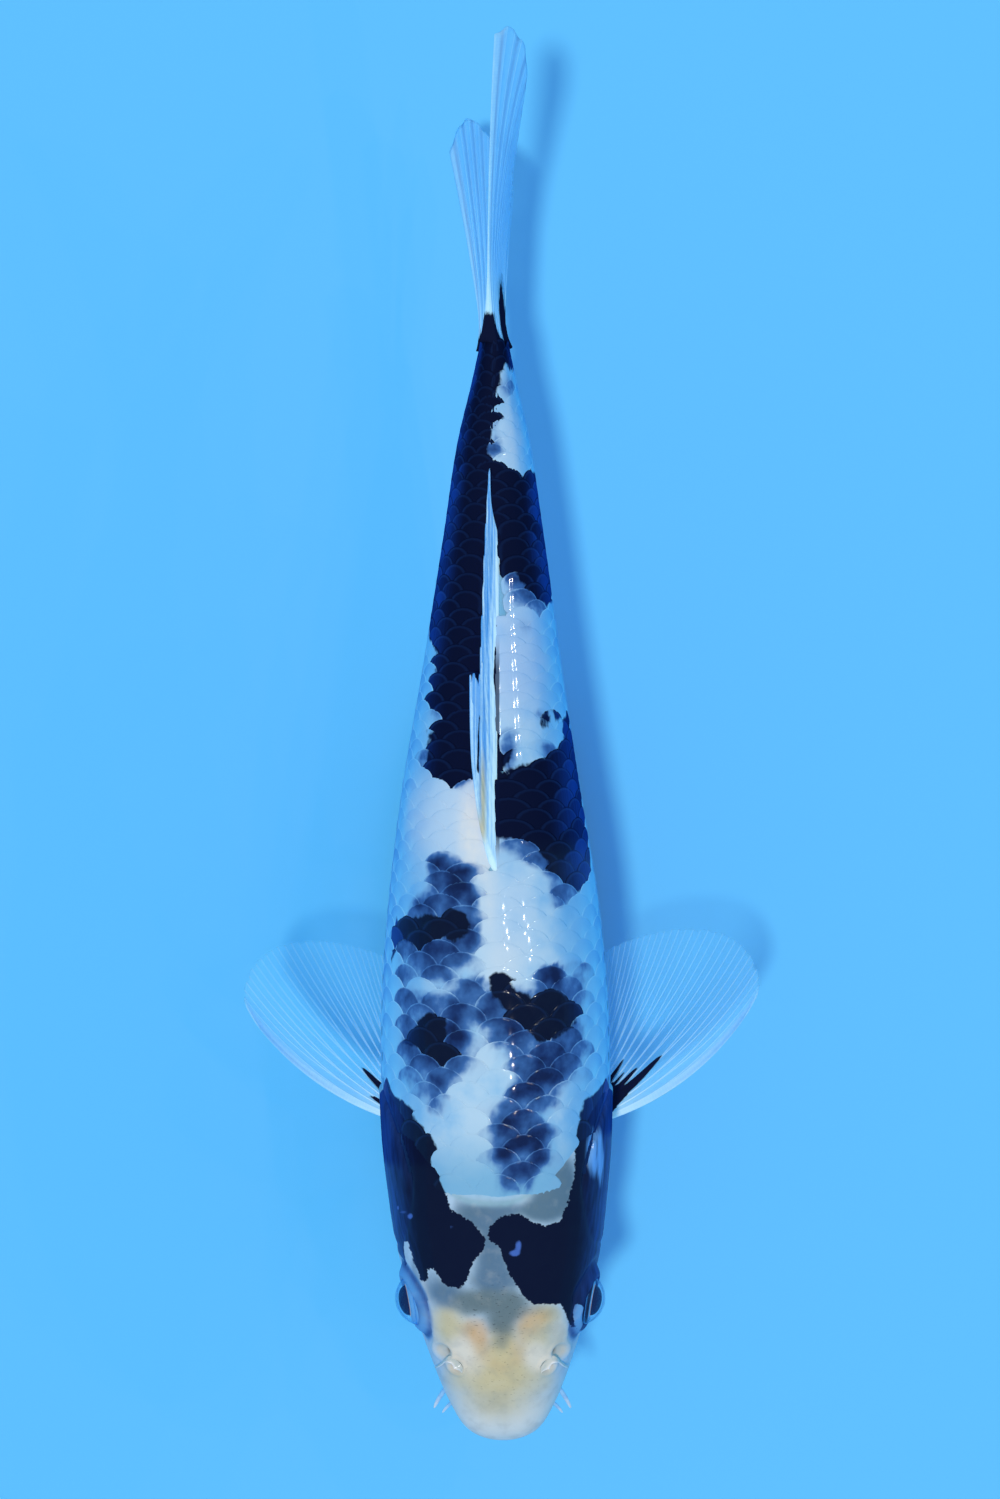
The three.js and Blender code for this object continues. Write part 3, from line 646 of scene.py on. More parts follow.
# The eye looks this far up, and this far forwards for each unit outwards.
EYE_TILT = np.radians(5)
EYE_FORWARD = 0.17
LID_CORNER = (21.9, 36.4, 1.2, 3.4, 1.0)  # the pale front corner of the left lid, clear of the black
# Tints of the bare head, as soft spots: x, distance, half-width, half-length, depth.
HEAD_TINTS = {
    "gold": [
        (0, 20, 12, 7, 0.85), (-9, 28, 6, 8, 0.6), (10, 31, 7, 8, 0.75), (-14, 33, 4, 6, 0.6),
        (14, 36, 4, 3, 0.6), (0, 13, 12, 6.5, 0.6), (1, 25, 4, 5, 0.8), (0.5, 30, 3.4, 4, 0.8),
        (-16.5, 34, 4, 6, 0.55), (18, 30, 3, 5, 0.35), (0, 8, 7, 4, 0.25), (-13, 18, 4, 4, 0.35),
        (13, 18, 4, 4, 0.35),
    ],
    "orange": [
        (-7.2, 31.4, 4.8, 4.2, 0.55), (-6.5, 27, 4.6, 5.4, 0.5), (8, 34, 5.4, 4.6, 0.6),
        (5.5, 26, 3.4, 4.4, 0.4), (13, 35.5, 3, 2.4, 0.3), (-12, 20.5, 3, 2.4, 0.3),
        (0, 21.5, 4, 3, 0.25),
    ],
    "pearl": [
        (-11, 25.5, 4, 5, 0.8), (10.5, 24, 4, 4.6, 0.75), (-7.5, 21.5, 4, 4, 0.45), (17, 31.5, 2.6, 4, 0.5),
        (-19, 31, 2.6, 8, 0.35), (-21.5, 40, 1.8, 8, 0.45),
    ],
    "olive": [
        (-4.5, 39.5, 6, 4, 0.9), (3, 39, 5, 4.4, 0.9), (0.5, 34.5, 4.6, 4, 0.85),
        (0.5, 30.5, 3.4, 4.4, 0.6), (0, 26, 2.2, 3, 0.2), (-10, 39, 4.4, 3.6, 0.75),
        (-2, 11.5, 6, 3.4, 0.25), (13, 37.5, 5, 2.4, 0.25), (5.5, 37.5, 4, 3, 0.4), (15, 35, 3, 2, 0.2),
    ],
    "slate": [
        (-2, 50, 5.5, 8, 0.9), (-1, 45, 7.5, 4, 0.85), (-3, 57, 3, 5, 0.85), (-15, 41.5, 5.4, 4.2, 0.85),
        (-19, 45, 3, 4, 0.5), (-5, 62.5, 5.5, 3, 0.75), (-10, 66, 4, 3, 0.55), (2, 66, 6, 2.2, 0.6),
        (-24, 47, 1.6, 7, 0.5), (-5, 63.5, 7, 3.6, 0.85), (2, 64, 4, 3, 0.6),
    ],
    "dun": [(14, 67, 6.5, 5.5, 0.95), (17.5, 74, 4.6, 7, 0.95), (10, 65, 5, 2.6, 0.8), (-8, 65, 5, 2, 0.4)],
    # Painted shade on the lower front of the right lid.
    "lid_foot": [(-23, 37.5, 1.7, 3.6, 0.95)],
    "speckled": [(0, 36, 13, 10, 1.0), (1, 18, 10, 8, 0.7)],
    "scar": [
        (-29.7, 66, 0.8, 0.8, 0.9), (-25.6, 63.6, 0.9, 0.9, 0.9), (-13.8, 60.6, 0.7, 0.7, 0.5),
        (5.3, 55.2, 1.0, 1.7, 0.95), (4.2, 53.2, 1.6, 1.0, 0.95), (12.4, 49.7, 0.8, 0.8, 0.4),
        (12, 47.6, 0.7, 0.7, 0.35), (-27.5, 64.8, 1.6, 0.5, 0.5), (-26, 60, 1.6, 2.4, 0.25),
    ],
    "silver": [(27.3, 81.5, 3.4, 8, 0.95), (30.5, 76, 2.4, 6, 0.7), (30, 66, 1.4, 4, 0.45)],
}


def falls(distance, width):
    """A smooth bell: 1 at zero distance, and 0 well beyond the width."""
    return np.exp(-((distance / width) ** 2))


def closed_spline(corners, steps=8):
    """A smooth closed line through the corners (Catmull-Rom), as points in order."""
    p = np.array(corners, float)
    before, after, beyond = np.roll(p, 1, 0), np.roll(p, -1, 0), np.roll(p, -2, 0)
    t = (np.arange(steps) / steps)[:, None, None]
    a = 2 * p
    b = (after - before) * t
    c = (2 * before - 5 * p + 4 * after - beyond) * t**2
    d = (3 * p - before - 3 * after + beyond) * t**3
    return ((a + b + c + d) / 2).transpose(1, 0, 2).reshape(-1, 2)


def nearest_on(points, line):
    """Distance from each point to a line of straight pieces."""
    least = np.full(points.shape[:-1], 1e9)
    for start, end in zip(line[:-1], line[1:]):
        way = end - start
        t = np.clip((points - start) @ way / (way @ way), 0, 1)
        least = np.minimum(least, np.linalg.norm(points - start - t[..., None] * way, axis=-1))
    return least


def outward(points, faces):
    """The faces of a closed mesh, turned round if they enclose a negative volume."""
    p = np.asarray(points, float)
    groups = faces if isinstance(faces, tuple) else (faces,)
    volume = 0.0
    for group in groups:
        for k in range(1, group.shape[1] - 1):
            a, b, c = p[group[:, 0]], p[group[:, k]], p[group[:, k + 1]]
            volume += np.einsum("ij,ij->i", a, np.cross(b, c)).sum()
    kept = groups if volume > 0 else tuple(group[:, ::-1] for group in groups)
    return kept if isinstance(faces, tuple) else kept[0]


def closed_rings(rings):
    """Rings of points joined to one skin, with a middle point that closes each end."""
    rows, columns = rings.shape[:2]
    points = np.vstack([rings.reshape(-1, 3), rings[0].mean(0), rings[-1].mean(0)])
    ring = np.arange(columns)
    after = (ring + 1) % columns
    first, last = rows * columns, (rows - 1) * columns
    caps = [
        np.stack([np.full(columns, first), after, ring], -1),
        np.stack([np.full(columns, first + 1), last + ring, last + after], -1),
    ]
    return points, outward(points, (grid_faces(rows, columns, closed=True), np.vstack(caps)))


def with_ends(values):
    """A field on the rings of closed_rings, with the values of its two middle points."""
    return np.concatenate([values.ravel(), [values[0].mean(), values[-1].mean()]])


def eye_centre(side):
    bend = section(EYE["distance"])[4]
    return np.array([bend + side * EYE["x"], SNOUT_Y + EYE["distance"], AXIS_Z + EYE["z"]])


def eye_axis(side):
    """The eye looks outwards, forwards and slightly up."""
    way = np.array([side * np.cos(EYE_TILT), -EYE_FORWARD, np.sin(EYE_TILT)])
    return way / np.linalg.norm(way)


def skin_height(distance, angle):
    """Height of the skin over the body's form, from smooth bells, and how far each point takes painted
    shade in a fold or slit, is in a nostril, takes painted shadow in the rear nostril's depth, lies on an
    eyelid and on the lid's streak, from 0 to 1."""
    place = surface_point(distance, angle)
    turned = np.degrees(np.abs(angle))
    behind = distance - SCALED_FROM(turned)
    height = -COAT_DEPTH * smooth_step(behind, -1.5, 3.0)
    fold, pit, deep, lid, streak = np.zeros((5, *height.shape))
    # Gill covers: a plate with rounded edges, and a slit round its rear.
    level = place[..., 2] - AXIS_Z
    cover = inside_depth(distance, level, closed_spline(COVER_EDGE))
    rear = smooth_step(distance, 66, 88)
    height = height + COVER_RISE * smooth_step(cover, -0.4, 1.8) * rear * (distance < COVER_END)
    slit = falls(cover + 0.5, 0.55) * rear
    height = height - SLIT_DEPTH * slit
    fold = fold + slit
    height = height - COVER_SEAM * falls(cover - 0.4, 1.1) * (1 - rear)
    # The seam round the cheek plate in front of the cover.
    plate = inside_depth(distance, level, closed_spline(CHEEK_PLATE))
    height = height - CHEEK_SEAM * falls(plate, 0.9)
    for side in (-1, 1):
        mine = np.sign(place[..., 0] - section(distance)[4]) == side
        # Eye: a rim of skin hugs the ball, with a furrow outside it.
        away = place - eye_centre(side)
        out = away @ eye_axis(side)
        ring = np.linalg.norm(away - out[..., None] * eye_axis(side), axis=-1)
        facing = mine & (out > 0)
        rim = LID_RISE * falls(ring - LID_RADIUS, LID_WIDTH) - LID_FURROW * falls(ring - FURROW_RADIUS, 1.4)
        sunk = -SOCKET_DEPTH * (1 - smooth_step(ring, 5.6, 6.9))
        height = height + np.where(facing, rim + sunk, 0)
        fold = fold + np.where(facing, 0.5 * falls(ring - 11.0, 0.8), 0)
        over_lid = np.where(mine, smooth_step(out, -1.5, 1.0), 0)
        lid = lid + over_lid * smooth_step(ring, 13.4, 11.0)
        streak = streak + over_lid * falls(ring - 10.6, 0.95)
        # Nostrils: two pits with a thin raised rim.
        for kind, (x, d, size) in NOSTRILS.items():
            along, across = distance - d, (place[..., 0] - section(distance)[4]) * side - x
            flat = np.hypot((across + along) * 0.62, (across - along) * 0.78)
            on_top = (turned < 80) & mine
            sunk = NOSTRIL_DEPTH * (1 - smooth_step(flat, size * 0.3, size))
            raised = NOSTRIL_RIM * falls(flat - size * 1.1, 0.5)
            height = height + np.where(on_top, raised - sunk, 0)
            pit = pit + np.where(on_top, 1 - smooth_step(flat, size * 0.6, size), 0)
            if kind == "rear":
                deep = deep + np.where(on_top, falls(np.hypot((across + 1.3) * 1.4, along - 0.2), 1.0), 0)
    # Mouth: a slit between two rolled lips, with a crease behind the upper lip.
    bend = section(distance)[4]
    local = np.stack([np.abs(place[..., 0] - bend), distance, level], -1)
    gap = nearest_on(local, np.array(MOUTH_LINE, float))
    near = distance < 30
    height = height + np.where(near, LIP_RISE * falls(gap - 2.1, 1.2) - MOUTH_DEPTH * falls(gap, 0.6), 0)
    crease = nearest_on(local, np.array(CREASE_LINE, float))
    height = height - np.where(near, LIP_CREASE * falls(crease, 0.75), 0)
    fold = fold + np.where(near, falls(gap, 0.55) + 0.25 * falls(crease, 0.6), 0)
    # The tip itself stays in place, so that the rows close on it.
    calm = smooth_step(distance, 0.0, 1.2)
    marks = {"fold": fold, "pit": pit, "deep": deep, "lid": lid, "streak": streak}
    return height * calm, {key: np.clip(values, 0, 1) for key, values in marks.items()}


# Some tones stand for light: navy is a painted sheen of reflected blue light on the black, fold is painted
# shade in folds and slits, the nostril's foot is painted shadow inside the rear nostril, and the lid's foot
# is painted shade on the lower front of the right lid.
SKIN_TONES = {
    "milk": (170, 202, 230), "nose": (196, 212, 222), "gold": (196, 190, 154), "orange": (196, 160, 112),
    "pearl": (216, 218, 212), "slate": (80, 114, 146), "olive": (92, 114, 124), "dun": (84, 116, 140),
    "cream": (136, 180, 202), "lid": (72, 150, 220), "lid_foot": (42, 88, 164), "lid_streak": (54, 98, 172),
    "dark_cloud": (112, 132, 142), "pale_cloud": (214, 220, 218), "mottle": (124, 148, 164),
    "speck": (46, 54, 62), "low_white": (100, 170, 214), "high_white": (128, 188, 224),
    "young_black": (40, 66, 120), "black": (14, 22, 50), "navy_sheen": (32, 70, 146),
    "silver": (104, 168, 240), "scar": (72, 112, 200), "fold": (26, 44, 88), "nostril": (194, 198, 192),
    "nostril_shadow": (128, 104, 76),
}
# The tints of the head from the lowest up: how ragged, where each begins and is full, and its strength.
TINT_LAYERS = [
    ("gold", 0.4, 0.0, 1.0, 1.0),
    ("orange", 0.5, 0.05, 1.1, 1.0),
    ("pearl", 0.3, 0.0, 1.0, 1.0),
    ("slate", 0.4, 0.0, 0.95, 0.95),
    ("olive", 0.5, 0.05, 0.95, 0.95),
    ("dun", 0.5, 0.0, 0.9, 0.95),
]


def skin_paint():
    """Milky skin over pearl: ground colours of the head, then black with crisp, slightly ragged edges."""
    paint = Paint("koi_skin", Roughness=0.5, Specular_IOR_Level=0.0, Coat_Roughness=0.12, Coat_IOR=1.3)
    tint = {key: paint.field(key) for key in HEAD_TINTS}
    fine = paint.noise(300.0, 3.0)
    broad = paint.noise(70.0, 3.0)
    warp = (broad - 0.5) * 0.5 + (fine - 0.5) * 0.35
    ground = paint.blend(paint.field("tip"), SKIN_TONES["milk"], SKIN_TONES["nose"])
    for key, ragged, begins, full, strength in TINT_LAYERS:
        share = (tint[key] + warp * ragged).step(begins, full) * strength
        ground = paint.blend(share, ground, SKIN_TONES[key])
    ground = paint.blend(paint.field("cream") * (0.45 + 0.6 * fine), ground, SKIN_TONES["cream"])
    ground = paint.blend(paint.field("lid") * 0.9, ground, SKIN_TONES["lid"])
    # Painted shade on the lower front of the right lid.
    ground = paint.blend(tint["lid_foot"] * 0.75, ground, SKIN_TONES["lid_foot"])
    ground = paint.blend(paint.field("streak") * (0.5 + 0.9 * fine), ground, SKIN_TONES["lid_streak"])
    cloudy = paint.noise(210.0, 4.0)
    ground = paint.blend(cloudy.step(0.45, 0.75) * 0.22, ground, SKIN_TONES["dark_cloud"])
    ground = paint.blend(cloudy.step(0.5, 0.2) * 0.14, ground, SKIN_TONES["pale_cloud"])
    mottle = (paint.noise(420.0, 2.0) - 0.5) * 0.5
    mottled = (tint["slate"] + tint["olive"]) * mottle.step(0.0, 0.3) * 0.35
    ground = paint.blend(mottled, ground, SKIN_TONES["mottle"])
    dashes = paint.noise(1.0, 1.0, paint.drawn_out(900.0, 2600.0, 900.0))
    speck = dashes.step(0.66, 0.72) * tint["speckled"]
    ground = paint.blend(speck * 0.6, ground, SKIN_TONES["speck"])
    white = paint.blend(broad, SKIN_TONES["low_white"], SKIN_TONES["high_white"])
    ground = paint.blend(paint.field("white") * (0.7 + 0.5 * fine), ground, white)
    shade = (paint.field("shade") * 1.2 + (fine - 0.5) * 0.5).step(0.2, 1.0)
    ground = paint.blend(shade * 0.9, ground, SKIN_TONES["young_black"])
    # Full black, with a painted navy sheen of reflected blue light drawn out along the cheeks' sides, and
    # its silver patch and scars.
    rough = paint.noise(1300.0, 2.0)
    black = (paint.field("black") + (rough + fine - 1.0) * 1.3 + (broad - 0.5) * 1.2).step(-0.15, 0.15)
    streak = paint.noise(1.0, 4.0, paint.drawn_out(500.0, 90.0, 500.0))
    navy_sheen = (paint.field("flank") * (0.2 + 1.4 * streak)).step(0.1, 1.0)
    bloom = paint.blend(navy_sheen, SKIN_TONES["black"], SKIN_TONES["navy_sheen"])
    silver = (tint["silver"] * (0.3 + 1.5 * streak)).step(0.35, 1.0)
    bloom = paint.blend(silver, bloom, SKIN_TONES["silver"])
    scar = (tint["scar"] + (fine - 0.5) * 0.5).step(0.3, 0.8)
    bloom = paint.blend(scar * 0.85, bloom, SKIN_TONES["scar"])
    colour = paint.blend(black, ground, bloom)
    # Painted shade in the gill slits, the furrows round the eyes, the mouth's slit and the crease behind
    # the upper lip.
    colour = paint.blend(paint.field("fold") * 0.7, colour, SKIN_TONES["fold"])
    colour = paint.blend(paint.field("pit") * 0.85, colour, SKIN_TONES["nostril"])
    # Painted shadow inside the rear nostril, on its inner side.
    colour = paint.blend(paint.field("deep") * 0.75, colour, SKIN_TONES["nostril_shadow"])
    wet = (0.16 + 0.2 * fine) * (1 - paint.field("white"))
    relief = paint.bump(paint.noise(1100.0, 2.0), 0.00006, 0.5)
    return paint.feed(Base_Color=colour, Coat_Weight=wet, Normal=relief)


def add_skin():
    """The skin as rings of points, close together on the head and wider apart under the scales."""
    nose = np.linspace(0.12, 1, NOSE_ROWS) ** 2 * NOSE_END
    head = np.arange(NOSE_END + HEAD_STEP, HEAD_END, HEAD_STEP)
    trunk = np.linspace(HEAD_END, BODY_LENGTH, TRUNK_ROWS)
    rows = np.concatenate([nose, head, trunk])
    turn = np.arange(SKIN_COLUMNS) / SKIN_COLUMNS * 2 * np.pi
    angle = np.where(turn > np.pi, turn - 2 * np.pi, turn)
    distance, around = np.meshgrid(rows, angle, indexing="ij")
    height, marks = skin_height(distance, around)
    points = body_point(distance, around, height)
    x, seen = unrolled(distance, around)
    turned = np.degrees(np.abs(around))
    fields = marks | {key: spot_depth(spots, x, seen) for key, spots in HEAD_TINTS.items()}
    fields["black"] = patch_depth(BLACK_PATCHES, x, seen) - 6 * spot_depth([LID_CORNER], x, seen)
    fields["shade"] = young_depth(x, seen) * smooth_step(seen, 67, 71)
    fields["tip"] = 1 - smooth_step(seen - 0.5 * np.abs(x), 2, 12)
    past_line = seen - NAPE_LINE(np.clip(x, -20, 20))
    fields["white"] = smooth_step(past_line, 0, 4) * smooth_step(turned, 112, 88)
    fields["cream"] = falls(past_line, 1.0) * smooth_step(60 - turned, 0, 30)
    fields["flank"] = smooth_step(turned, 30, 85) * (1 - 0.75 * smooth_step(turned, 78, 100))
    rings, faces = closed_rings(points)
    made = add_mesh("skin", rings, faces, skin_paint(), {key: with_ends(v) for key, v in fields.items()})
    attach(made, "root")
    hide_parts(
        "head", "lower_jaw", "trunk_front", "trunk_rear", "tail_stalk", "gill_cover_left",
        "gill_cover_right",
    )


add_skin()


# ------------------------------------------------------------------------------------------------------
# The scales
# Thin, round-ended plates of horn under a film of skin. Each is rooted under the ones ahead of it and
# covers the next ones like a roof tile, with only its rounded rear showing.
# ------------------------------------------------------------------------------------------------------

SCALE_COLUMNS = 11
SCALE_STATIONS = [0, 0.25, 0.5, 0.72, 0.88, 0.975, 1]  # v at each row of points; the last one turns down
SCALE_TURN = np.radians(80)
SCALE_REACH = 0.8  # how far the free edge draws back at its sides, in pitches
SCALE_LENGTH = 2.1  # from the root to the tip, in pitches
SCALE_TILT = 0.014  # how far a scale sinks for each millimetre ahead of its tip
SCALE_BULGE = 0.018
SCALE_EDGE = 0.05
UNEVEN_TIP, UNEVEN_ROW, UNEVEN_LIFT = 0.12, 0.1, 0.016
TOP_ROWS = 6.5  # rows over this one stay even, so that they meet the fin in a line
MATT_FROM, MATT_FULL = 164, 174  # behind here the scales' gloss is dull on the black and along the ridge
FIN_FOOT = (167, 262)  # no scales lie on the middle line between these distances
SCALE_PATCH = 0.003  # each scale's share of the map


def scale_places():
    """Row, side and tip of every scale: one pitch apart in a row, and half a pitch on in the next row."""
    fine = np.linspace(40, 318, 1400)
    counted = np.concatenate([[0], np.cumsum(np.diff(fine) / PITCH(fine[:-1]))])
    places = []
    for row in range(-8, 8):
        index = np.arange(0, int(counted[-1])) + 0.5 * (row % 2)
        tips = np.interp(index, counted, fine)
        for side in (1, -1):
            over, under = ROWS_OVER(tips) - row, ROWS_UNDER(tips) + row
            near_fin = (tips > FIN_FOOT[0]) & (tips < FIN_FOOT[1])
            least = -0.3 if side > 0 else 0.3  # a row on the middle line belongs to the left side
            fits = np.where(near_fin, over > 0.45, over > least) & (under > least)
            arc = arc_of_row(tips, np.full(len(tips), float(row)))
            turned = np.degrees(np.abs(angle_at(tips, arc)))
            fits = fits & (tips > SCALED_FROM(turned) + 2.5) & (tips < BODY_LENGTH + 3.5)
            places += [(row, side, tip) for tip in tips[fits]]
    return np.array(places)


# Tones that stand for light: the spine tone is painted light on the top of the back, the flank tone painted
# shade with blue reflected light down the sides, the navy tone a painted sheen of reflected blue on the
# black, the sheen tone a painted sheen behind each free edge, and the dark tone by the fin a painted shadow
# of the dorsal fin.
SCALE_TONES = {
    "low_white": (112, 180, 232), "high_white": (138, 196, 238), "spine": (174, 210, 238),
    "nape": (112, 174, 216), "blush": (160, 194, 236), "flank": (118, 206, 255), "belly": (176, 210, 232),
    "pearl": (184, 214, 240), "milk": (216, 226, 232), "hollow": (58, 126, 218), "young": (62, 112, 180),
    "dusk": (28, 56, 112), "night": (18, 34, 78), "black": (12, 20, 48), "navy_sheen": (22, 64, 150),
    "seam": (7, 13, 38), "sheen": (44, 92, 170), "edge": (104, 166, 232), "flank_edge": (160, 216, 255),
    "pore": (40, 60, 96), "fin_shadow": (12, 22, 54),
}


def scale_paint():
    """Milky white over blue, young black inside each scale behind a paler rim, and full black over it."""
    paint = Paint("koi_scales", Roughness=0.5, Specular_IOR_Level=0.0, Coat_Roughness=0.07, Coat_IOR=1.35)
    fine = paint.noise(420.0, 3.0)
    broad = paint.noise(60.0, 3.0)
    cloud = paint.noise(170.0, 3.0)
    chance, flank, across = paint.field("chance"), paint.field("flank"), paint.field("across")
    young = paint.field("shade")
    young = young + ((cloud - 0.5) * 0.8 + (broad - 0.5) * 0.5) * young.step(0.02, 0.3)
    ribs = {"noise_dimensions": "1D"}
    rib = paint.node("ShaderNodeTexNoise", ribs, W=across * 9.0 + chance * 50.0, Scale=1.0, Detail=2.0)
    rim = paint.field("rim")
    ragged = rim + (rib - 0.5) * 0.25 + (fine + cloud - 1.0) * 0.6
    # White: painted light makes it bright along the spine, and painted shade with blue reflected light
    # makes it bluer and deeper down the sides; warm in places on the back.
    dapple = (broad * 0.6 + cloud * 0.4).step(0.3, 0.7)
    ground = paint.blend(dapple, SCALE_TONES["low_white"], SCALE_TONES["high_white"])
    spine = flank.step(0.2, 0.0) * (broad * 0.7 + cloud * 0.5).step(0.25, 0.8)
    blue_side_light = (flank * 1.2 + (chance - 0.5) * 0.2).step(0.15, 1.0)
    inside = ragged.step(0.05, 0.5)
    hollow = inside * rim.step(5.5, 1.0) * flank * (0.2 + 0.6 * chance)
    # Young black: grey-blue, darkest behind the rim, and lighter towards the root.
    depth = young * (0.62 + 0.38 * inside) * (1.06 - 0.26 * rim.step(1.5, 6.0)) * (0.8 + 0.4 * cloud)
    layers = {
        "spine": spine,
        "nape": paint.field("nape") * 0.85,
        "blush": paint.field("blush") * (0.6 + 0.8 * broad),
        "flank": blue_side_light,
        "belly": paint.field("under") * 0.6,
        "pearl": paint.field("pearl") * (0.6 + 0.8 * broad),
        "milk": paint.field("milk") * (0.6 + 0.6 * fine),
        "hollow": hollow * 0.75,
        "young": depth.step(0.04, 0.5),
        "dusk": depth.step(0.3, 0.85),
        "night": depth.step(0.75, 1.05),
    }
    for key, share in layers.items():
        ground = paint.blend(share, ground, SCALE_TONES[key])
    # Full black: nearly even on the back, with a painted navy sheen of reflected blue light down the sides,
    # darker lines between the scales, and a painted sheen in a band just behind each free edge.
    inked = paint.field("black") + (cloud - 0.5) * 1.6 + (rib - 0.5) * 0.25 + (fine - 0.5) * 0.9
    black = inked.step(-0.25, 0.25)
    navy_sheen = flank * (1 - 0.6 * paint.field("under")) * (0.5 + 0.8 * chance) * (0.8 + 0.4 * rib)
    soot = paint.blend(navy_sheen.step(0.05, 0.95), SCALE_TONES["black"], SCALE_TONES["navy_sheen"])
    soot = paint.blend(rim.step(0.7, 0.2) * (0.3 + 0.4 * flank), soot, SCALE_TONES["seam"])
    sheen = rim.step(0.15, 0.5) * rim.step(1.2, 0.6) * (0.06 + 0.22 * flank)
    soot = paint.blend(sheen, soot, SCALE_TONES["sheen"])
    colour = paint.blend(black, ground, soot)
    # A pale line along the free edge, on the flanks and over young black.
    drawn = 0.16 * young.step(0.1, 0.6) + 0.5 * flank.step(0.15, 0.6)
    line = rim.step(0.5, 0.1) * drawn * (fine * 0.6 + cloud * 0.6).step(0.3, 0.8)
    edge = paint.blend(flank.step(0.2, 0.6), SCALE_TONES["edge"], SCALE_TONES["flank_edge"])
    colour = paint.blend(line * (1 - black), colour, edge)
    pore = paint.field("pore") * abs(across).step(0.16, 0.08) * rim.step(0.8, 1.2) * rim.step(3.6, 3.0)
    colour = paint.blend(pore * 0.45, colour, SCALE_TONES["pore"])
    # Painted shadow of the dorsal fin: a dark line where the back meets the fin, on the fish's right.
    place = paint.place()
    x, y = (paint.node("ShaderNodeSeparateXYZ", {}, place, output=key) * (1 / MM) for key in "XY")
    fin_shadow = abs(x + 1.3).step(1.35, 0.95) * y.step(-32.0, -24.0) * y.step(32.0, 20.0)
    colour = paint.blend(fin_shadow * 0.8, colour, SCALE_TONES["fin_shadow"])
    # The wet gloss is dull along the ridge and on the black of the rear.
    ridge = paint.field("ridge")
    dry = ridge * (black + ridge).step(0.0, 1.0)
    wet = (0.15 + 0.4 * fine) * (1 - 0.6 * flank) * (1 - dry) * (1 - paint.field("rear") * black)
    relief = paint.bump(rib * 0.5 + fine * 0.8, 0.00005, 0.7)
    return paint.feed(Base_Color=colour, Coat_Weight=wet, Normal=relief)


def wide(values):
    """One value for each scale, shaped to meet the grid of points of every scale."""
    return np.reshape(values, (-1, 1, 1))


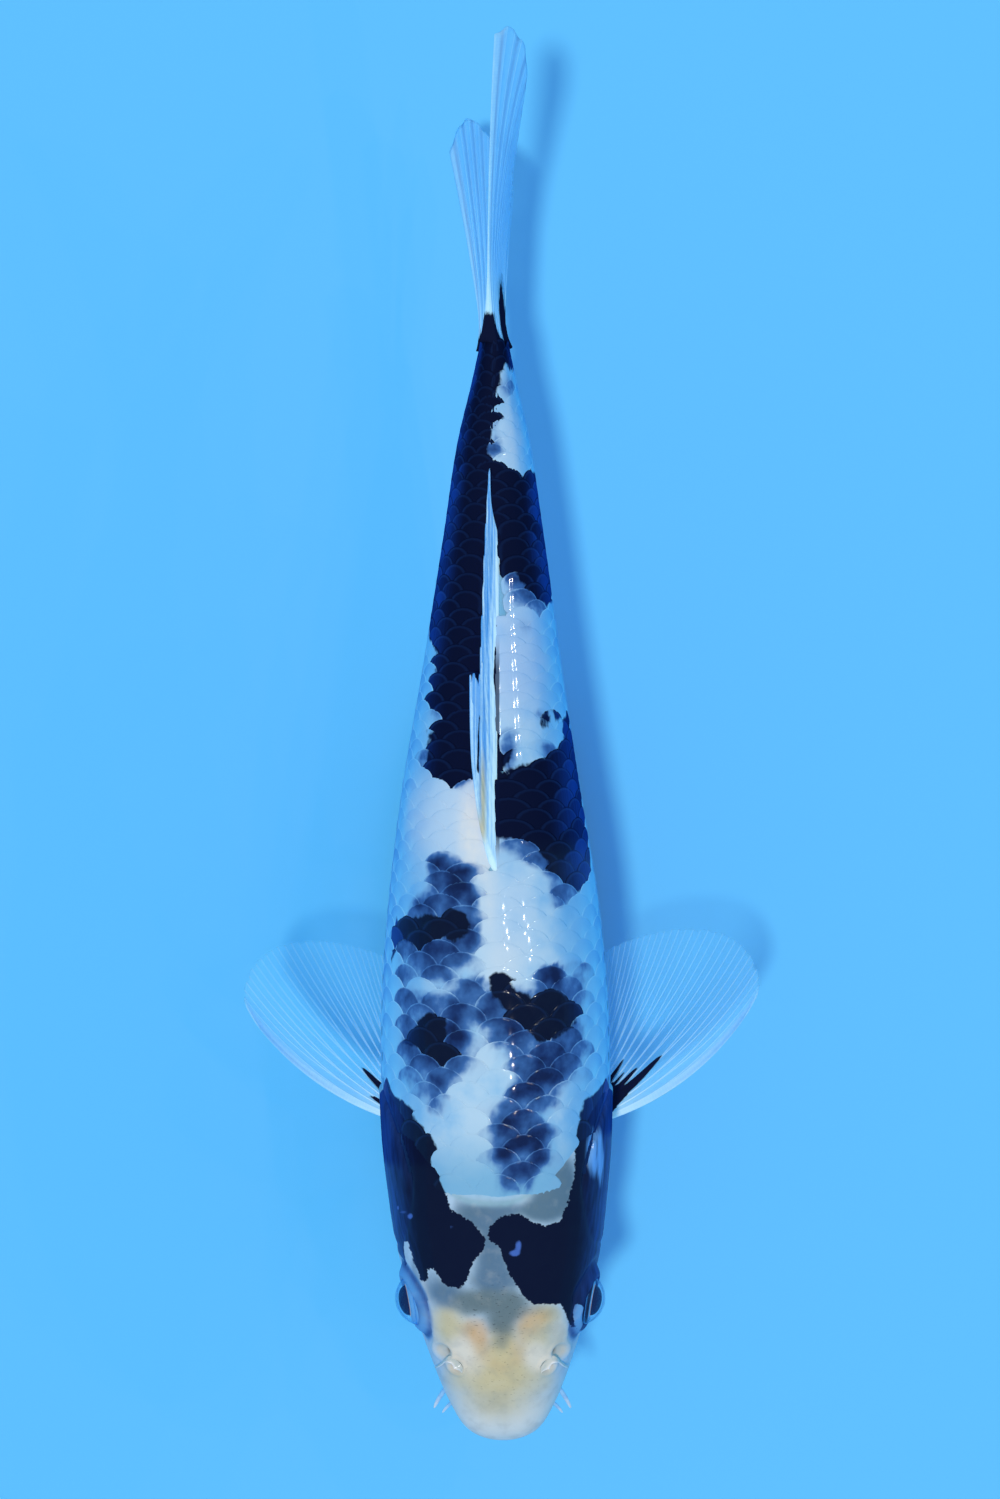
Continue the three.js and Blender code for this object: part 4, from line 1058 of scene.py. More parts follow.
def add_scales():
    """All scales as one mesh. On each, u runs across from -1 to 1 and v from its root to its free edge.

    The free edge is an arc: at the turn t from its middle it lies sin(t) rows across and r (1 - cos t)
    ahead of the tip, where r is SCALE_REACH times the pitch of the scales along the row.
    """
    rng = np.random.default_rng(7)
    row, side, tip = scale_places().T
    count = len(tip)
    chance = rng.random(count)
    tip = tip + UNEVEN_TIP * PITCH(tip) * (rng.random(count) - 0.5)
    shifted = row + UNEVEN_ROW * (rng.random(count) - 0.5) * (row < TOP_ROWS)
    u = np.linspace(-1, 1, SCALE_COLUMNS)[None, None, :]
    v = np.array(SCALE_STATIONS)[None, :, None]
    pitch = wide(PITCH(tip))
    reach = SCALE_REACH * pitch
    rows_across = np.sin(SCALE_TURN * u) * (0.55 + 0.45 * smooth_step(v, 0, 0.5))
    free_edge = -reach * (1 - np.cos(SCALE_TURN * u))
    # v is stretched so that most rows of points lie on the part that shows.
    along = -SCALE_LENGTH * pitch * (1 - v) ** 1.3 + free_edge * v
    here = np.clip(wide(tip) + along, 1.0, BODY_LENGTH + 2.5)
    arc = arc_of_row(here, wide(shifted) + rows_across)
    angle = wide(side) * angle_at(here, arc)
    ahead = np.maximum(-along, 0)
    dome = SCALE_BULGE * pitch * (np.sin(np.pi * np.minimum(ahead / pitch, 1)) - rows_across**2)
    tilt = SCALE_TILT * (0.88 + 0.24 * wide(chance))
    height = 0.02 - tilt * ahead + dome + UNEVEN_LIFT * (wide(chance) - 0.5)
    past = np.maximum(wide(tip) + along - BODY_LENGTH, 0)
    points = body_point(np.minimum(here, BODY_LENGTH), angle, height - SCALE_EDGE * (v == 1))
    points = points + past[..., None] * np.array([0, 1.0, 0])
    shape = points.shape[:3]
    middle = tip - 0.45 * PITCH(tip)
    middle_angle = side * angle_at(middle, arc_of_row(middle, row))
    x, seen = unrolled(middle, middle_angle)
    spread, spread_seen = unrolled(here, angle)
    turned = np.degrees(np.abs(angle))
    # Each scale carries its own share of the pigment, and part of it runs on from scale to scale.
    own = wide(smooth_step(tip - SCALED_FROM(np.degrees(np.abs(middle_angle))), 3, 14))
    own_black = patch_depth(BLACK_PATCHES, x, seen) + 1.0 * (rng.random(count) - 0.5)
    own_young = np.clip(young_depth(x, seen) * (0.8 + 0.4 * rng.random(count)), 0, 1)
    run_black = patch_depth(BLACK_PATCHES, spread, spread_seen)
    run_young = young_depth(spread, spread_seen)
    own_share = (0.25 + 0.5 * smooth_step(turned, 30, 60)) * own
    fields = {
        "chance": wide(chance),
        "black": run_black + 0.5 * own * (wide(own_black) - run_black),
        "shade": run_young + own_share * (wide(own_young) - run_young),
        "blush": spot_depth(BLUSHES, spread, spread_seen),
        "milk": spot_depth(CREAMS, spread, spread_seen),
        "pearl": spot_depth(PEARLS, spread, spread_seen),
        "nape": smooth_step(spread_seen, 92, 72),
        "ridge": falls(turned, 22) * smooth_step(here, MATT_FROM, MATT_FULL),
        "rear": smooth_step(here, MATT_FROM, MATT_FULL),
        "rim": reach * (1 - np.hypot(rows_across, np.maximum(1 + along / reach, 0))),
        "across": u,
        "flank": smooth_step(turned, 25, 85),
        "under": smooth_step(turned, 74, 104),
        "pore": wide(row == 0),
    }
    fields = {key: np.broadcast_to(values, shape) for key, values in fields.items()}
    # The map: the scales' middles laid out by their angle and distance, each with a small patch of its own.
    patch_u = 0.5 + wide(middle_angle) / (2 * np.pi) * 0.98 + SCALE_PATCH * u / 2
    patch_v = wide(tip) / 320 + SCALE_PATCH * (v - 0.5)
    bake_map = np.stack(np.broadcast_arrays(patch_u, patch_v), -1)
    # The grid of a scale faces outwards on the fish's right side, and is turned round on its left side.
    faces = grid_faces(shape[1], shape[2])[None] + wide(np.arange(count) * shape[1] * shape[2])
    faces = np.where(wide(side) > 0, faces[..., ::-1], faces).reshape(-1, 4)
    made = add_mesh("scales", points.reshape(-1, 3), faces, scale_paint(), fields, {"OFBake": bake_map})
    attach(made, "root")


add_scales()


# ------------------------------------------------------------------------------------------------------
# The eyes
# Each eye is a ball set in a ring of skin, looking outwards and forwards. The black lens bulges out through
# the pupil, inside a thin rosy ring and a silver-blue iris, all under a clear cornea.
# ------------------------------------------------------------------------------------------------------

EYE_TURNS = 72
LENS_RADIUS, LENS_RISE = 4.25, 2.5
IRIS_FROM, IRIS_TO = 4.3, 6.5  # radii of the flat iris
IRIS_LEVEL = 4.8  # height of the iris over the ball's centre, along the eye's axis
BALL_RADIUS = 7.85
CORNEA_RADIUS, CORNEA_INSIDE, CORNEA_REACH = 8.05, 7.9, 7.15
CORNEA_BULGE = 0.2
EYE_TONES = {
    "iris_low": (86, 158, 226), "iris_high": (140, 204, 246), "ring": (250, 204, 186), "lens": (16, 34, 84),
    "left_white": (18, 32, 72), "right_white": (92, 162, 228), "gloss": (160, 205, 245),
}


def turned_about(centre, axis, radius, along, turns):
    """A surface of revolution: centre + axis * along + radius * (cos t, sin t) square to the axis."""
    first = cross(axis, np.array([0.0, 0.0, 1.0]))
    second = cross(first, axis)
    t = np.arange(turns) / turns * 2 * np.pi
    spoke = np.cos(t)[:, None] * first + np.sin(t)[:, None] * second
    return centre + np.asarray(along)[:, None, None] * axis + np.asarray(radius)[:, None, None] * spoke


def iris_paint(white, name):
    """Bands by the distance from the eye's axis: black lens, rosy ring, iris, and the white of the eye."""
    paint = Paint(name, Roughness=0.5, Specular_IOR_Level=0.0)
    reach = paint.field("reach")
    rays = paint.noise(900.0, 3.0)
    iris = paint.blend((rays - 0.5) * 2.0 + 0.5, EYE_TONES["iris_low"], EYE_TONES["iris_high"])
    iris = paint.blend((reach + (rays - 0.5) * 0.3).step(4.85, 4.6), iris, EYE_TONES["ring"])
    iris = paint.blend(reach.step(5.9, IRIS_TO), iris, white)
    colour = paint.blend(reach.step(4.38, 4.28), iris, EYE_TONES["lens"])
    return paint.feed(Base_Color=colour, Normal=paint.bump(rays * reach.step(4.3, 4.8), 0.0001, 0.3))


def cornea_paint():
    """Clear, with the glossy glint of a wet surface that grows towards its edge."""
    paint = Paint("eye_cornea")
    paint.tree.nodes.remove(paint.shader)
    clear = paint.node("ShaderNodeBsdfTransparent", {})
    gloss = paint.node("ShaderNodeBsdfGlossy", {}, Color=linear(EYE_TONES["gloss"]), Roughness=0.04)
    edge = paint.node("ShaderNodeLayerWeight", {}, 0.5, output=1)
    shine = 0.02 + edge**4.0 * (0.7 + 0.1 * paint.noise(40.0))
    both = paint.node("ShaderNodeMixShader", {}, shine, clear, gloss)
    paint.tree.links.new(both.socket, paint.tree.nodes["Material Output"].inputs["Surface"])
    return paint.material


def add_eyes():
    cornea = cornea_paint()
    for side, word in ((1, "left"), (-1, "right")):
        iris = iris_paint(EYE_TONES[f"{word}_white"], f"eye_iris_{word}")
        centre, axis = eye_centre(side), eye_axis(side)
        # Profile from the middle of the pupil, over the iris, and round the back of the ball.
        lens = LENS_RADIUS * np.sin(np.linspace(0.04, 1.5, 14))
        flat = np.linspace(IRIS_FROM, IRIS_TO, 10)
        ball = np.linspace(0.98, 3.0, 16)
        radius = np.concatenate([lens, flat, BALL_RADIUS * np.sin(ball)])
        dome = IRIS_LEVEL + LENS_RISE * np.sqrt(1 - (lens / (LENS_RADIUS + 0.02)) ** 2)
        slope = IRIS_LEVEL - 0.18 * (flat - IRIS_FROM)
        along = np.concatenate([dome, slope, BALL_RADIUS * np.cos(ball)])
        rings = turned_about(centre, axis, radius, along, EYE_TURNS)
        points, faces = closed_rings(rings)
        reach = with_ends(np.broadcast_to(radius[:, None], rings.shape[:2]))
        made = add_mesh(f"eye_ball_{word}", points, faces, iris, {"reach": reach})
        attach(made, "root")
        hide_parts(f"eye_{word}")
        # The cornea is a thin shell, bulged a little at its middle.
        radius = np.linspace(0.1, CORNEA_REACH, 22)
        bulge = CORNEA_BULGE * (1 - (radius / CORNEA_REACH) ** 2)
        outer = turned_about(centre, axis, radius, np.sqrt(CORNEA_RADIUS**2 - radius**2) + bulge, EYE_TURNS)
        back = radius[::-1]
        inner = turned_about(centre, axis, back, np.sqrt(CORNEA_INSIDE**2 - back**2), EYE_TURNS)
        points, faces = closed_rings(np.concatenate([outer, inner]))
        made = add_mesh(f"eye_cornea_{word}", points, faces, cornea)
        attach(made, "root")


add_eyes()


# ------------------------------------------------------------------------------------------------------
# The nostril flaps and the barbels
# A leaf of skin stands between the two openings of each nostril and guides water into it. Two pairs of
# soft barbels hang from the upper lip and the corners of the mouth, with which a koi feels for food.
# ------------------------------------------------------------------------------------------------------

# Each barbel: radius at its root, and its line as x from the middle, distance, height over the axis.
BARBELS = {
    "front": (0.744, [
        (11.4, 13.4, -5.0), (12.6, 12.4, -5.6), (14.6, 10.6, -6.9), (16.2, 8.8, -8.9), (17.2, 7.2, -11.4),
    ]),
    "rear": (1.02, [
        (13.2, 17.4, -11.8), (14.6, 16.0, -12.6), (16.7, 13.2, -14.6), (18.5, 10.2, -17.2),
        (19.7, 7.4, -20.6),
    ]),
}


def spline(corners, steps):
    """A smooth open line through the corners (Catmull-Rom), with even steps between each pair."""
    p = np.array(corners, float)
    p = np.vstack([2 * p[0] - p[1], p, 2 * p[-1] - p[-2]])
    t = (np.arange(steps) / steps)[None, :, None]
    a, b, c, d = (p[i : len(p) - 3 + i, None, :] for i in range(4))
    square, cube = 2 * a - 5 * b + 4 * c - d, 3 * b - a - 3 * c + d
    line = (2 * b + (c - a) * t + square * t**2 + cube * t**3) / 2
    return np.vstack([line.reshape(-1, p.shape[1]), p[-2]])


def tube(line, radius, turns):
    """Rings of the given radii round a line, square to it, all turned the same way."""
    along = np.gradient(line, axis=0)
    along = along / np.linalg.norm(along, axis=1, keepdims=True)
    first = cross(along, np.array([0.0, 0.3, 1.0]))
    second = np.cross(along, first)
    t = np.arange(turns) / turns * 2 * np.pi
    spoke = np.cos(t)[None, :, None] * first[:, None] + np.sin(t)[None, :, None] * second[:, None]
    return line[:, None] + spoke * np.asarray(radius)[:, None, None]


TRIM_TONES = {
    "barbel_low": (112, 180, 240), "barbel_high": (146, 202, 246), "flap_low": (180, 196, 200),
    "flap_high": (198, 208, 208), "thin": (228, 236, 244),
}


def lip_paint(name, low, high):
    """Soft pearly skin between two tints, paler where it is thin."""
    paint = Paint(name, Roughness=0.45, IOR=1.2, Coat_Weight=0.2, Coat_Roughness=0.12)
    fine = paint.noise(600.0, 3.0)
    colour = paint.blend(fine.step(0.3, 0.7), low, high)
    colour = paint.blend(paint.field("thin").step(0.5, 1.0) * 0.85, colour, TRIM_TONES["thin"])
    return paint.feed(Base_Color=colour, Normal=paint.bump(paint.noise(1400.0), 0.00005, 0.5))


# The line of the flap's foot on the right-hand half of the head: x from the middle, distance.
FLAP_FOOT = [
    (10.9, 21.6), (11.1, 23.4), (12.4, 25.1), (14.4, 26.6), (15.4, 25.8), (16.8, 24.0), (18.3, 22.3),
]
FLAP_LEANS_TO = (13.4, 22.6)
# The flap's height along its foot, from 0 at its inner end to 1 at its outer end.
flap_height = curve_through([
    (0, 0.3), (0.12, 1.3), (0.28, 2.1), (0.42, 2.5), (0.55, 2.2), (0.7, 1.3), (0.85, 1.1), (0.95, 0.9),
    (1, 0.2),
])


def over_head(x, distance, height):
    """The point over the head's top at x millimetres from its middle line: surface_point solved for x."""
    angle = np.arcsin(np.clip(x / section(distance)[0], 0, 0.98) ** (1 / squareness(distance)))
    return body_point(distance, angle, height)


def add_head_trims():
    barbel_paint = lip_paint("barbel_skin", TRIM_TONES["barbel_low"], TRIM_TONES["barbel_high"])
    flap_paint = lip_paint("flap_skin", TRIM_TONES["flap_low"], TRIM_TONES["flap_high"])
    bend = section(12)[4]
    for side, word in ((1, "left"), (-1, "right")):
        turned = np.array([side, 1, 1])
        for kind, (thick, corners) in BARBELS.items():
            line = spline(corners, 10) * turned + [bend, SNOUT_Y, AXIS_Z]
            share = np.linspace(0, 1, len(line))
            radius = thick * (1 - 0.55 * share) * np.sqrt(1 - share**12 * 0.98)
            rings = tube(line, radius, 16)
            points, faces = closed_rings(rings)
            thin = with_ends(np.broadcast_to(share[:, None], rings.shape[:2]))
            made = add_mesh(f"barbel_{kind}_{word}", points, faces, barbel_paint, {"thin": thin})
            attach(made, "root")
            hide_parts(f"barbel_{kind}_{word}")
        # The flap: a leaf that stands behind the front opening, leans over it, and ends in a thin point.
        x, distance = spline(FLAP_FOOT, 6).T
        share = np.linspace(0, 1, len(x))
        v = np.linspace(0, 1, 9)[None, :, None]
        foot = over_head(x, distance, 0.1 + 0.7 * smooth_step(share, 0.45, 0.65))
        inward = np.stack([FLAP_LEANS_TO[0] - x, FLAP_LEANS_TO[1] - distance, 0 * x], -1)
        inward = inward / np.linalg.norm(inward, axis=-1, keepdims=True)
        lean = (0.85 - 0.5 * smooth_step(share, 0.45, 0.7))[:, None]
        way = (1.3 - lean) * np.array([0.2, -0.3, 0.93]) + lean * inward
        sheet = foot[:, None] + flap_height(share)[:, None, None] * v * way[:, None]
        out = cross(np.gradient(sheet, axis=0), np.gradient(sheet, axis=1))
        half = (0.2 - 0.05 * v + 0.14 * falls(v - 0.95, 0.15)) * (1 - 0.5 * share[:, None, None])
        rings = np.concatenate([sheet + out * half, (sheet - out * half)[:, ::-1]], axis=1)
        middle = [section(FLAP_LEANS_TO[1])[4], 0, 0]
        points, faces = closed_rings((rings - middle) * turned + middle)
        edge = np.concatenate([v[..., 0], v[:, ::-1, 0]], axis=1) * np.ones((len(x), 1))
        made = add_mesh(f"nostril_flap_{word}", points, faces, flap_paint, {"thin": with_ends(edge)})
        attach(made, "root")
        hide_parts(f"nostril_{word}")


add_head_trims()


# ------------------------------------------------------------------------------------------------------
# The pectoral fins
# Broad fans held out level beside the belly. Soft bony rays run from the root and split in two towards
# the margin, with a thin clear web between them. The first ray is thick and white. Black marks the roots.
# ------------------------------------------------------------------------------------------------------

RAY_SPREAD = 0.25  # how far the halves of a split ray lie from its middle, in gaps between rays
FIN_TONES = {
    "clouded": (146, 206, 232), "ray": (186, 228, 248), "joint": (92, 158, 224), "seam": (84, 132, 196),
    "ochre": (176, 168, 120), "black": (13, 21, 48),
}
# The pectoral fins: where the first ray is rooted, its bearing, and how far it all turns by the last ray.
PECTORAL_ROOT = {"x": 26, "distance": 89, "z": -21}
PECTORAL_BEARING, PECTORAL_FAN = 33.5, 48
# Length of the rays against their bearing in degrees.
PECTORAL_REACH = curve_through([(33.5, 51), (36, 57), (42, 62), (50, 62.5), (60, 57), (70, 49.5), (82, 41)])
# Length of the black along each ray, from the root: share across the fin, millimetres.
PECTORAL_BLACK = {
    "left": [
        (0, 4), (0.06, 6), (0.1, 8), (0.14, 9), (0.18, 12), (0.21, 14), (0.245, 22), (0.272, 28),
        (0.29, 26), (0.305, 18), (0.325, 14.5), (0.35, 20.5), (0.37, 19), (0.39, 13), (0.41, 12),
        (0.43, 17), (0.45, 13), (0.49, 12.5), (0.525, 19), (0.55, 14), (0.6, 12), (0.66, 15), (0.7, 11),
        (0.8, 13), (0.88, 8), (1, 4),
    ],
    "right": [
        (0, 3), (0.1, 6), (0.14, 9), (0.17, 14), (0.2, 12.5), (0.23, 9), (0.28, 9.5), (0.32, 14),
        (0.35, 20.5), (0.375, 19), (0.4, 12.5), (0.44, 10), (0.48, 13), (0.51, 11), (0.56, 8), (0.7, 5),
        (1, 3),
    ],
}


def add_fin(name, node, place, rays, thick, paint, marks=None, steps=44, per_ray=10, fade=3.0, hollow=0.01):
    """A thin closed blade round the middle surface place(ray, out), with its rays standing up as ridges.

    ray runs from 0 at the leading ray to 1 at the last and out from 0 at the root to 1 at the margin.
    thick gives the thickness at the root, on a ray and between rays; the root's share falls as
    (1 - out)^fade. The margin draws back by the share hollow between the ends of the rays. marks works out
    the fields "ink" and "ochre" from ray, the length from the root, and x and distance as seen from above.
    """
    root_thick, ray_thick, web_thick = thick
    columns = (rays - 1) * per_ray + 1
    ray, out = np.meshgrid(np.linspace(0, 1, columns), np.linspace(0, 1, steps), indexing="xy")
    index = ray * (rays - 1)
    margin = 1 - hollow * np.sin(np.pi * index) ** 2 * (0.6 + 0.4 * np.sin(index * 5.3))
    small = 1e-3
    middle = place(ray, out * margin)
    across = place(np.minimum(ray + small, 1), out) - place(np.maximum(ray - small, 0), out)
    along = place(ray, np.minimum(out + small, 1)) - place(ray, np.maximum(out - small, 0))
    normal = cross(across, along)
    length = np.cumsum(np.linalg.norm(np.diff(middle, axis=0, prepend=middle[:1]), axis=-1), axis=0)
    gap = np.linalg.norm(np.gradient(middle, axis=1), axis=-1) * per_ray
    # Each ray is a ridge that splits in two: the nearest line's distance, in gaps between rays.
    off = np.abs(index - np.round(index))
    split = np.abs(off - RAY_SPREAD * smooth_step(out, 0.3, 0.75))
    ridge = falls(split, 0.16)
    blade = web_thick + (ray_thick - web_thick) * ridge * (1 - 0.55 * out)
    blade = blade + (root_thick - blade) * (1 - out) ** fade
    edge = 0.35 + 0.65 * smooth_step(np.minimum(ray, 1 - ray) * columns, -0.5, 3)
    lift = (blade * edge / 2)[..., None] * normal
    rings = np.concatenate([middle + lift, (middle - lift)[:, ::-1]], axis=1)
    points = rings.reshape(-1, 3)
    c = np.arange(columns - 1)
    last = (steps - 1) * 2 * columns
    far_side = 2 * columns - 1 - c
    caps = [
        np.stack([c + 1, c, far_side, far_side - 1], -1),
        np.stack([last + c, last + c + 1, last + far_side - 1, last + far_side], -1),
    ]
    faces = np.vstack([grid_faces(steps, 2 * columns, closed=True), *caps])
    fields = {"ray": index, "out": out, "along": length, "gap": gap, "ink": np.full(ray.shape, -9.0)}
    if marks:
        fields |= marks(ray, length, *seen_from_above(middle))
    both = {key: np.concatenate([values, values[:, ::-1]], axis=1) for key, values in fields.items()}
    made = add_mesh(name, points, outward(points, faces), paint, both)
    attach(made, "root")
    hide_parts(node)
    return made


def fin_paint(
    name, web_alpha, ray_alpha, ray_width, tint, whiteness=0.6, lead_rays=0.6, folded=False, seam=0.0,
    clouded=0.0,
):
    """Whitish jointed rays that split in two, in a web that lets light through.

    tint is the web's colour, and whiteness the strength of the white on the rays. lead_rays counts the
    stout rays in front, clouded whitens the web beside them, and seam darkens the web midway between rays.
    Where a fin is folded, the rays lie side by side, and fine lines along the fish take their place.
    """
    # Painted light: each fin glows faintly in its own colour, in place of the light that comes through it.
    paint = Paint(name, Roughness=0.5, Specular_IOR_Level=0.0, Emission_Strength=0.18)
    ray, out, along, gap = (paint.field(key) for key in ("ray", "out", "along", "gap"))
    off = abs(paint.node("ShaderNodeMath", {"operation": "FRACT"}, ray + 0.5) - 0.5)
    nearest = abs(off - RAY_SPREAD * out.step(0.28, 0.75))
    half = ray_width * (0.5 - 0.26 * out)
    line = (nearest * gap - half).step(0.16, -0.1)
    fine = paint.noise(700.0, 2.0)
    broad = paint.noise(110.0, 2.0)
    if folded:
        line = paint.noise(1.0, 3.0, paint.drawn_out(1500.0, 16.0, 200.0)).step(0.35, 0.65)
    lead = ray.step(lead_rays + 0.5, lead_rays)
    line = line.math("MAXIMUM", line, lead * 0.7)
    joint = paint.node("ShaderNodeMath", {"operation": "FRACT"}, along * 1.15 + fine * 0.3).step(0.28, 0.1)
    joint = joint * out.step(0.1, 0.3)
    ink = (paint.field("ink") + (line - 0.5) * 0.8 + (fine - 0.5) * 0.8).step(-0.3, 0.3)
    root = out.step(0.4, 0.0)
    pale = whiteness * (line * (0.4 + 0.6 * fine) + root * 0.6)
    front = ray.step(6.0, 0.0) * (1 - 0.6 * out) * clouded
    colour = paint.blend(front, tint, FIN_TONES["clouded"])
    colour = paint.blend(pale.math("MINIMUM", pale, 1.0), colour, FIN_TONES["ray"])
    colour = paint.blend(line * joint * 0.12, colour, FIN_TONES["joint"])
    between = off.step(0.3, 0.47) * seam * (0.4 + 0.9 * broad)
    colour = paint.blend(between, colour, FIN_TONES["seam"])
    colour = paint.blend(paint.field("ochre"), colour, FIN_TONES["ochre"])
    colour = paint.blend(ink, colour, FIN_TONES["black"])
    alpha = web_alpha * (0.7 + 0.6 * broad) + line * ray_alpha * (1 - 0.7 * out)
    alpha = alpha + root * 0.5 + between * 0.5 + ink
    alpha = alpha.math("MINIMUM", alpha + lead * 0.15 + front, 1.0)
    relief = paint.bump(line * (1 - 0.3 * joint), 0.00008, 0.4)
    # The fin's colour also feeds its glow, which is painted light.
    return paint.feed(Base_Color=colour, Emission_Color=colour, Alpha=alpha, Normal=relief)


def pectoral_place(side, reach, sweep):
    """Each ray leaves the root at its bearing, and lags near the root; the blade is cupped upwards."""

    def place(ray, out):
        bearing = PECTORAL_BEARING + PECTORAL_FAN * ray
        length = PECTORAL_REACH(bearing) * reach * out
        turned = np.radians(bearing + sweep * out - 20 * (1 - out) * (1 - ray) ** 2)
        x = PECTORAL_ROOT["x"] - 1.5 * ray + np.cos(turned) * length
        distance = PECTORAL_ROOT["distance"] + 6 * ray + np.sin(turned) * length
        cupped = 7 * out**2 * (1 - 0.75 * ray) + 3 * out * (1 - ray) - 4 * ray
        ripple = 0.5 * out**2 * np.sin(ray * 17 + out * 3)
        return np.stack([side * x, SNOUT_Y + distance, AXIS_Z + PECTORAL_ROOT["z"] + cupped + ripple], -1)

    return place


def root_black(reach_of_black):
    """Marks that blacken each ray from its root up to its own length."""

    def marks(ray, length, x, distance):
        return {"ink": reach_of_black(ray) - length}

    return marks


def add_pectorals():
    paint = fin_paint(
        "pectoral_web", web_alpha=0.1, ray_alpha=0.42, ray_width=0.3, tint=(96, 192, 250), whiteness=0.75,
        lead_rays=0.8, clouded=0.6,
    )
    for side, word, reach, sweep in ((1, "left", 1.06, 2), (-1, "right", 1.01, 0)):
        place = pectoral_place(side, reach, sweep)
        marks = root_black(curve_through(PECTORAL_BLACK[word]))
        add_fin(
            f"pectoral_{word}", f"pectoral_fin_{word}", place, rays=16, thick=(2.6, 0.5, 0.28), paint=paint,
            marks=marks,
        )


add_pectorals()


# ------------------------------------------------------------------------------------------------------
# The pelvic fins
# A pair of smaller fans under the belly, half folded back, made like the pectoral fins.
# ------------------------------------------------------------------------------------------------------

PELVIC_START = 156  # distance of the first ray's root
PELVIC_REACH = curve_through([(0, 38), (0.35, 41), (0.7, 36), (1, 26)])


def pelvic_place(side):
    """Rays at bearings from 58 to 82 degrees, which slope down away from the belly."""

    def place(ray, out):
        bearing = np.radians(58 + 24 * ray)
        length = PELVIC_REACH(ray) * out
        bend, belly = section(PELVIC_START)[4], section(PELVIC_START)[2]
        x = side * (9 + 0.62 * np.cos(bearing) * length) + bend
        z = belly + 3 - 0.34 * length * (1 - 0.45 * ray)
        distance = PELVIC_START + 6 * ray + np.sin(bearing) * length
        return np.stack([x, SNOUT_Y + distance, AXIS_Z + z], -1)

    return place


def add_pelvics():
    paint = fin_paint("pelvic_web", web_alpha=0.25, ray_alpha=0.5, ray_width=0.45, tint=(104, 180, 242))
    for side, word in ((1, "left"), (-1, "right")):
        place = pelvic_place(side)
        add_fin(
            f"pelvic_{word}", f"pelvic_fin_{word}", place, rays=10, thick=(2.4, 0.5, 0.3), paint=paint,
            steps=32,
        )


add_pelvics()


# ------------------------------------------------------------------------------------------------------
# The dorsal fin
# One long fin along the spine, folded back and leaning to the fish's right. A stout spine leads it. The
# folded rays lie in pleats, so the fin looks like a closed fan with a low strip behind.
# ------------------------------------------------------------------------------------------------------

DORSAL_START, DORSAL_LENGTH, DORSAL_RAYS = 161, 97, 20
# Along the fin: share of its length, reach of the ray, and how far its end leans to the right.
DORSAL_MARGIN = np.array([
    [0, 50, 6.4], [0.05, 54, 6.8], [0.1, 50, 6.2], [0.2, 38, 4.4], [0.45, 29, 3.4], [0.75, 24, 2.8],
    [1, 19, 2],
])
dorsal_reach = curve_through(DORSAL_MARGIN[:, :2])
dorsal_lean = curve_through(DORSAL_MARGIN[:, ::2])


def dorsal_place(ray, out):
    """Rays laid back at 17 to 22 degrees follow the back's slope; pleats turn the rays to either side."""
    start = DORSAL_START + DORSAL_LENGTH * ray
    spine = section(start)[1]
    length = dorsal_reach(ray) * out
    recline = np.radians(17 + 5 * np.minimum(1, ray * 3))
    distance = start + np.cos(recline) * length
    follow = (section(np.minimum(distance, BODY_LENGTH))[1] - spine) * 0.85
    z = spine - 1.5 + np.sin(recline) * length * (1 - 0.3 * out) + follow
    pleat = 0.22 * np.cos(ray * (DORSAL_RAYS - 1) * np.pi) * out * (1 - ray) ** 0.5
    x = section(start)[4] + 0.9 - dorsal_lean(ray) * (1 - (1 - out) ** 3) + pleat
    return np.stack([x, SNOUT_Y + distance, AXIS_Z + z], -1)


# Black on the folded fin, a streak and a painted shadow along its foot on the fish's right: x, distance.
DORSAL_BLACK = {
    "streak": [(-6.8, 190), (-6.6, 199), (-6.2, 206), (-5.9, 206), (-6.0, 198), (-6.4, 189)],
    "fin_shadow": [(-1.7, 205), (-2.5, 216), (-2.1, 225), (-1.3, 224), (-0.8, 214), (-0.8, 205)],
}


def dorsal_marks(ray, length, x, distance):
    """A black streak, a black painted shadow along the fin's foot on the fish's right, and an ochre streak
    along x = -5.3 over the front of the fin.
    """
    ochre = falls(x + 5.3, 0.8) * smooth_step(distance, 163, 172) * smooth_step(200 - distance, 0, 14)
    return {"ink": 3 * patch_depth(DORSAL_BLACK, x, distance), "ochre": 0.75 * ochre}


def add_dorsal():
    paint = fin_paint(
        "dorsal_web", web_alpha=0.85, ray_alpha=0.3, ray_width=0.5, tint=(72, 156, 232), whiteness=1.0,
        lead_rays=0.4, folded=True,
    )
    add_fin(
        "dorsal", "dorsal_fin", dorsal_place, rays=DORSAL_RAYS, thick=(2.4, 0.8, 0.45), paint=paint,
        marks=dorsal_marks, per_ray=8, hollow=0.06,
    )


add_dorsal()


# ------------------------------------------------------------------------------------------------------
# The anal fin
# A short fin under the tail stalk, made like the pelvic fins.
# ------------------------------------------------------------------------------------------------------

ANAL_START, ANAL_LENGTH = 236, 23


def anal_place(ray, out):
    """Rays laid back at 38 to 30 degrees under the belly line, bowed a little to the fish's right."""
    start = ANAL_START + ANAL_LENGTH * ray
    length = (36 - 17 * ray) * out
    recline = np.radians(38 - 8 * ray)
    z = section(start)[2] + 1.5 - np.sin(recline) * length
    x = section(start)[4] - 0.0012 * length**2
    return np.stack([x, SNOUT_Y + start + np.cos(recline) * length, AXIS_Z + z], -1)


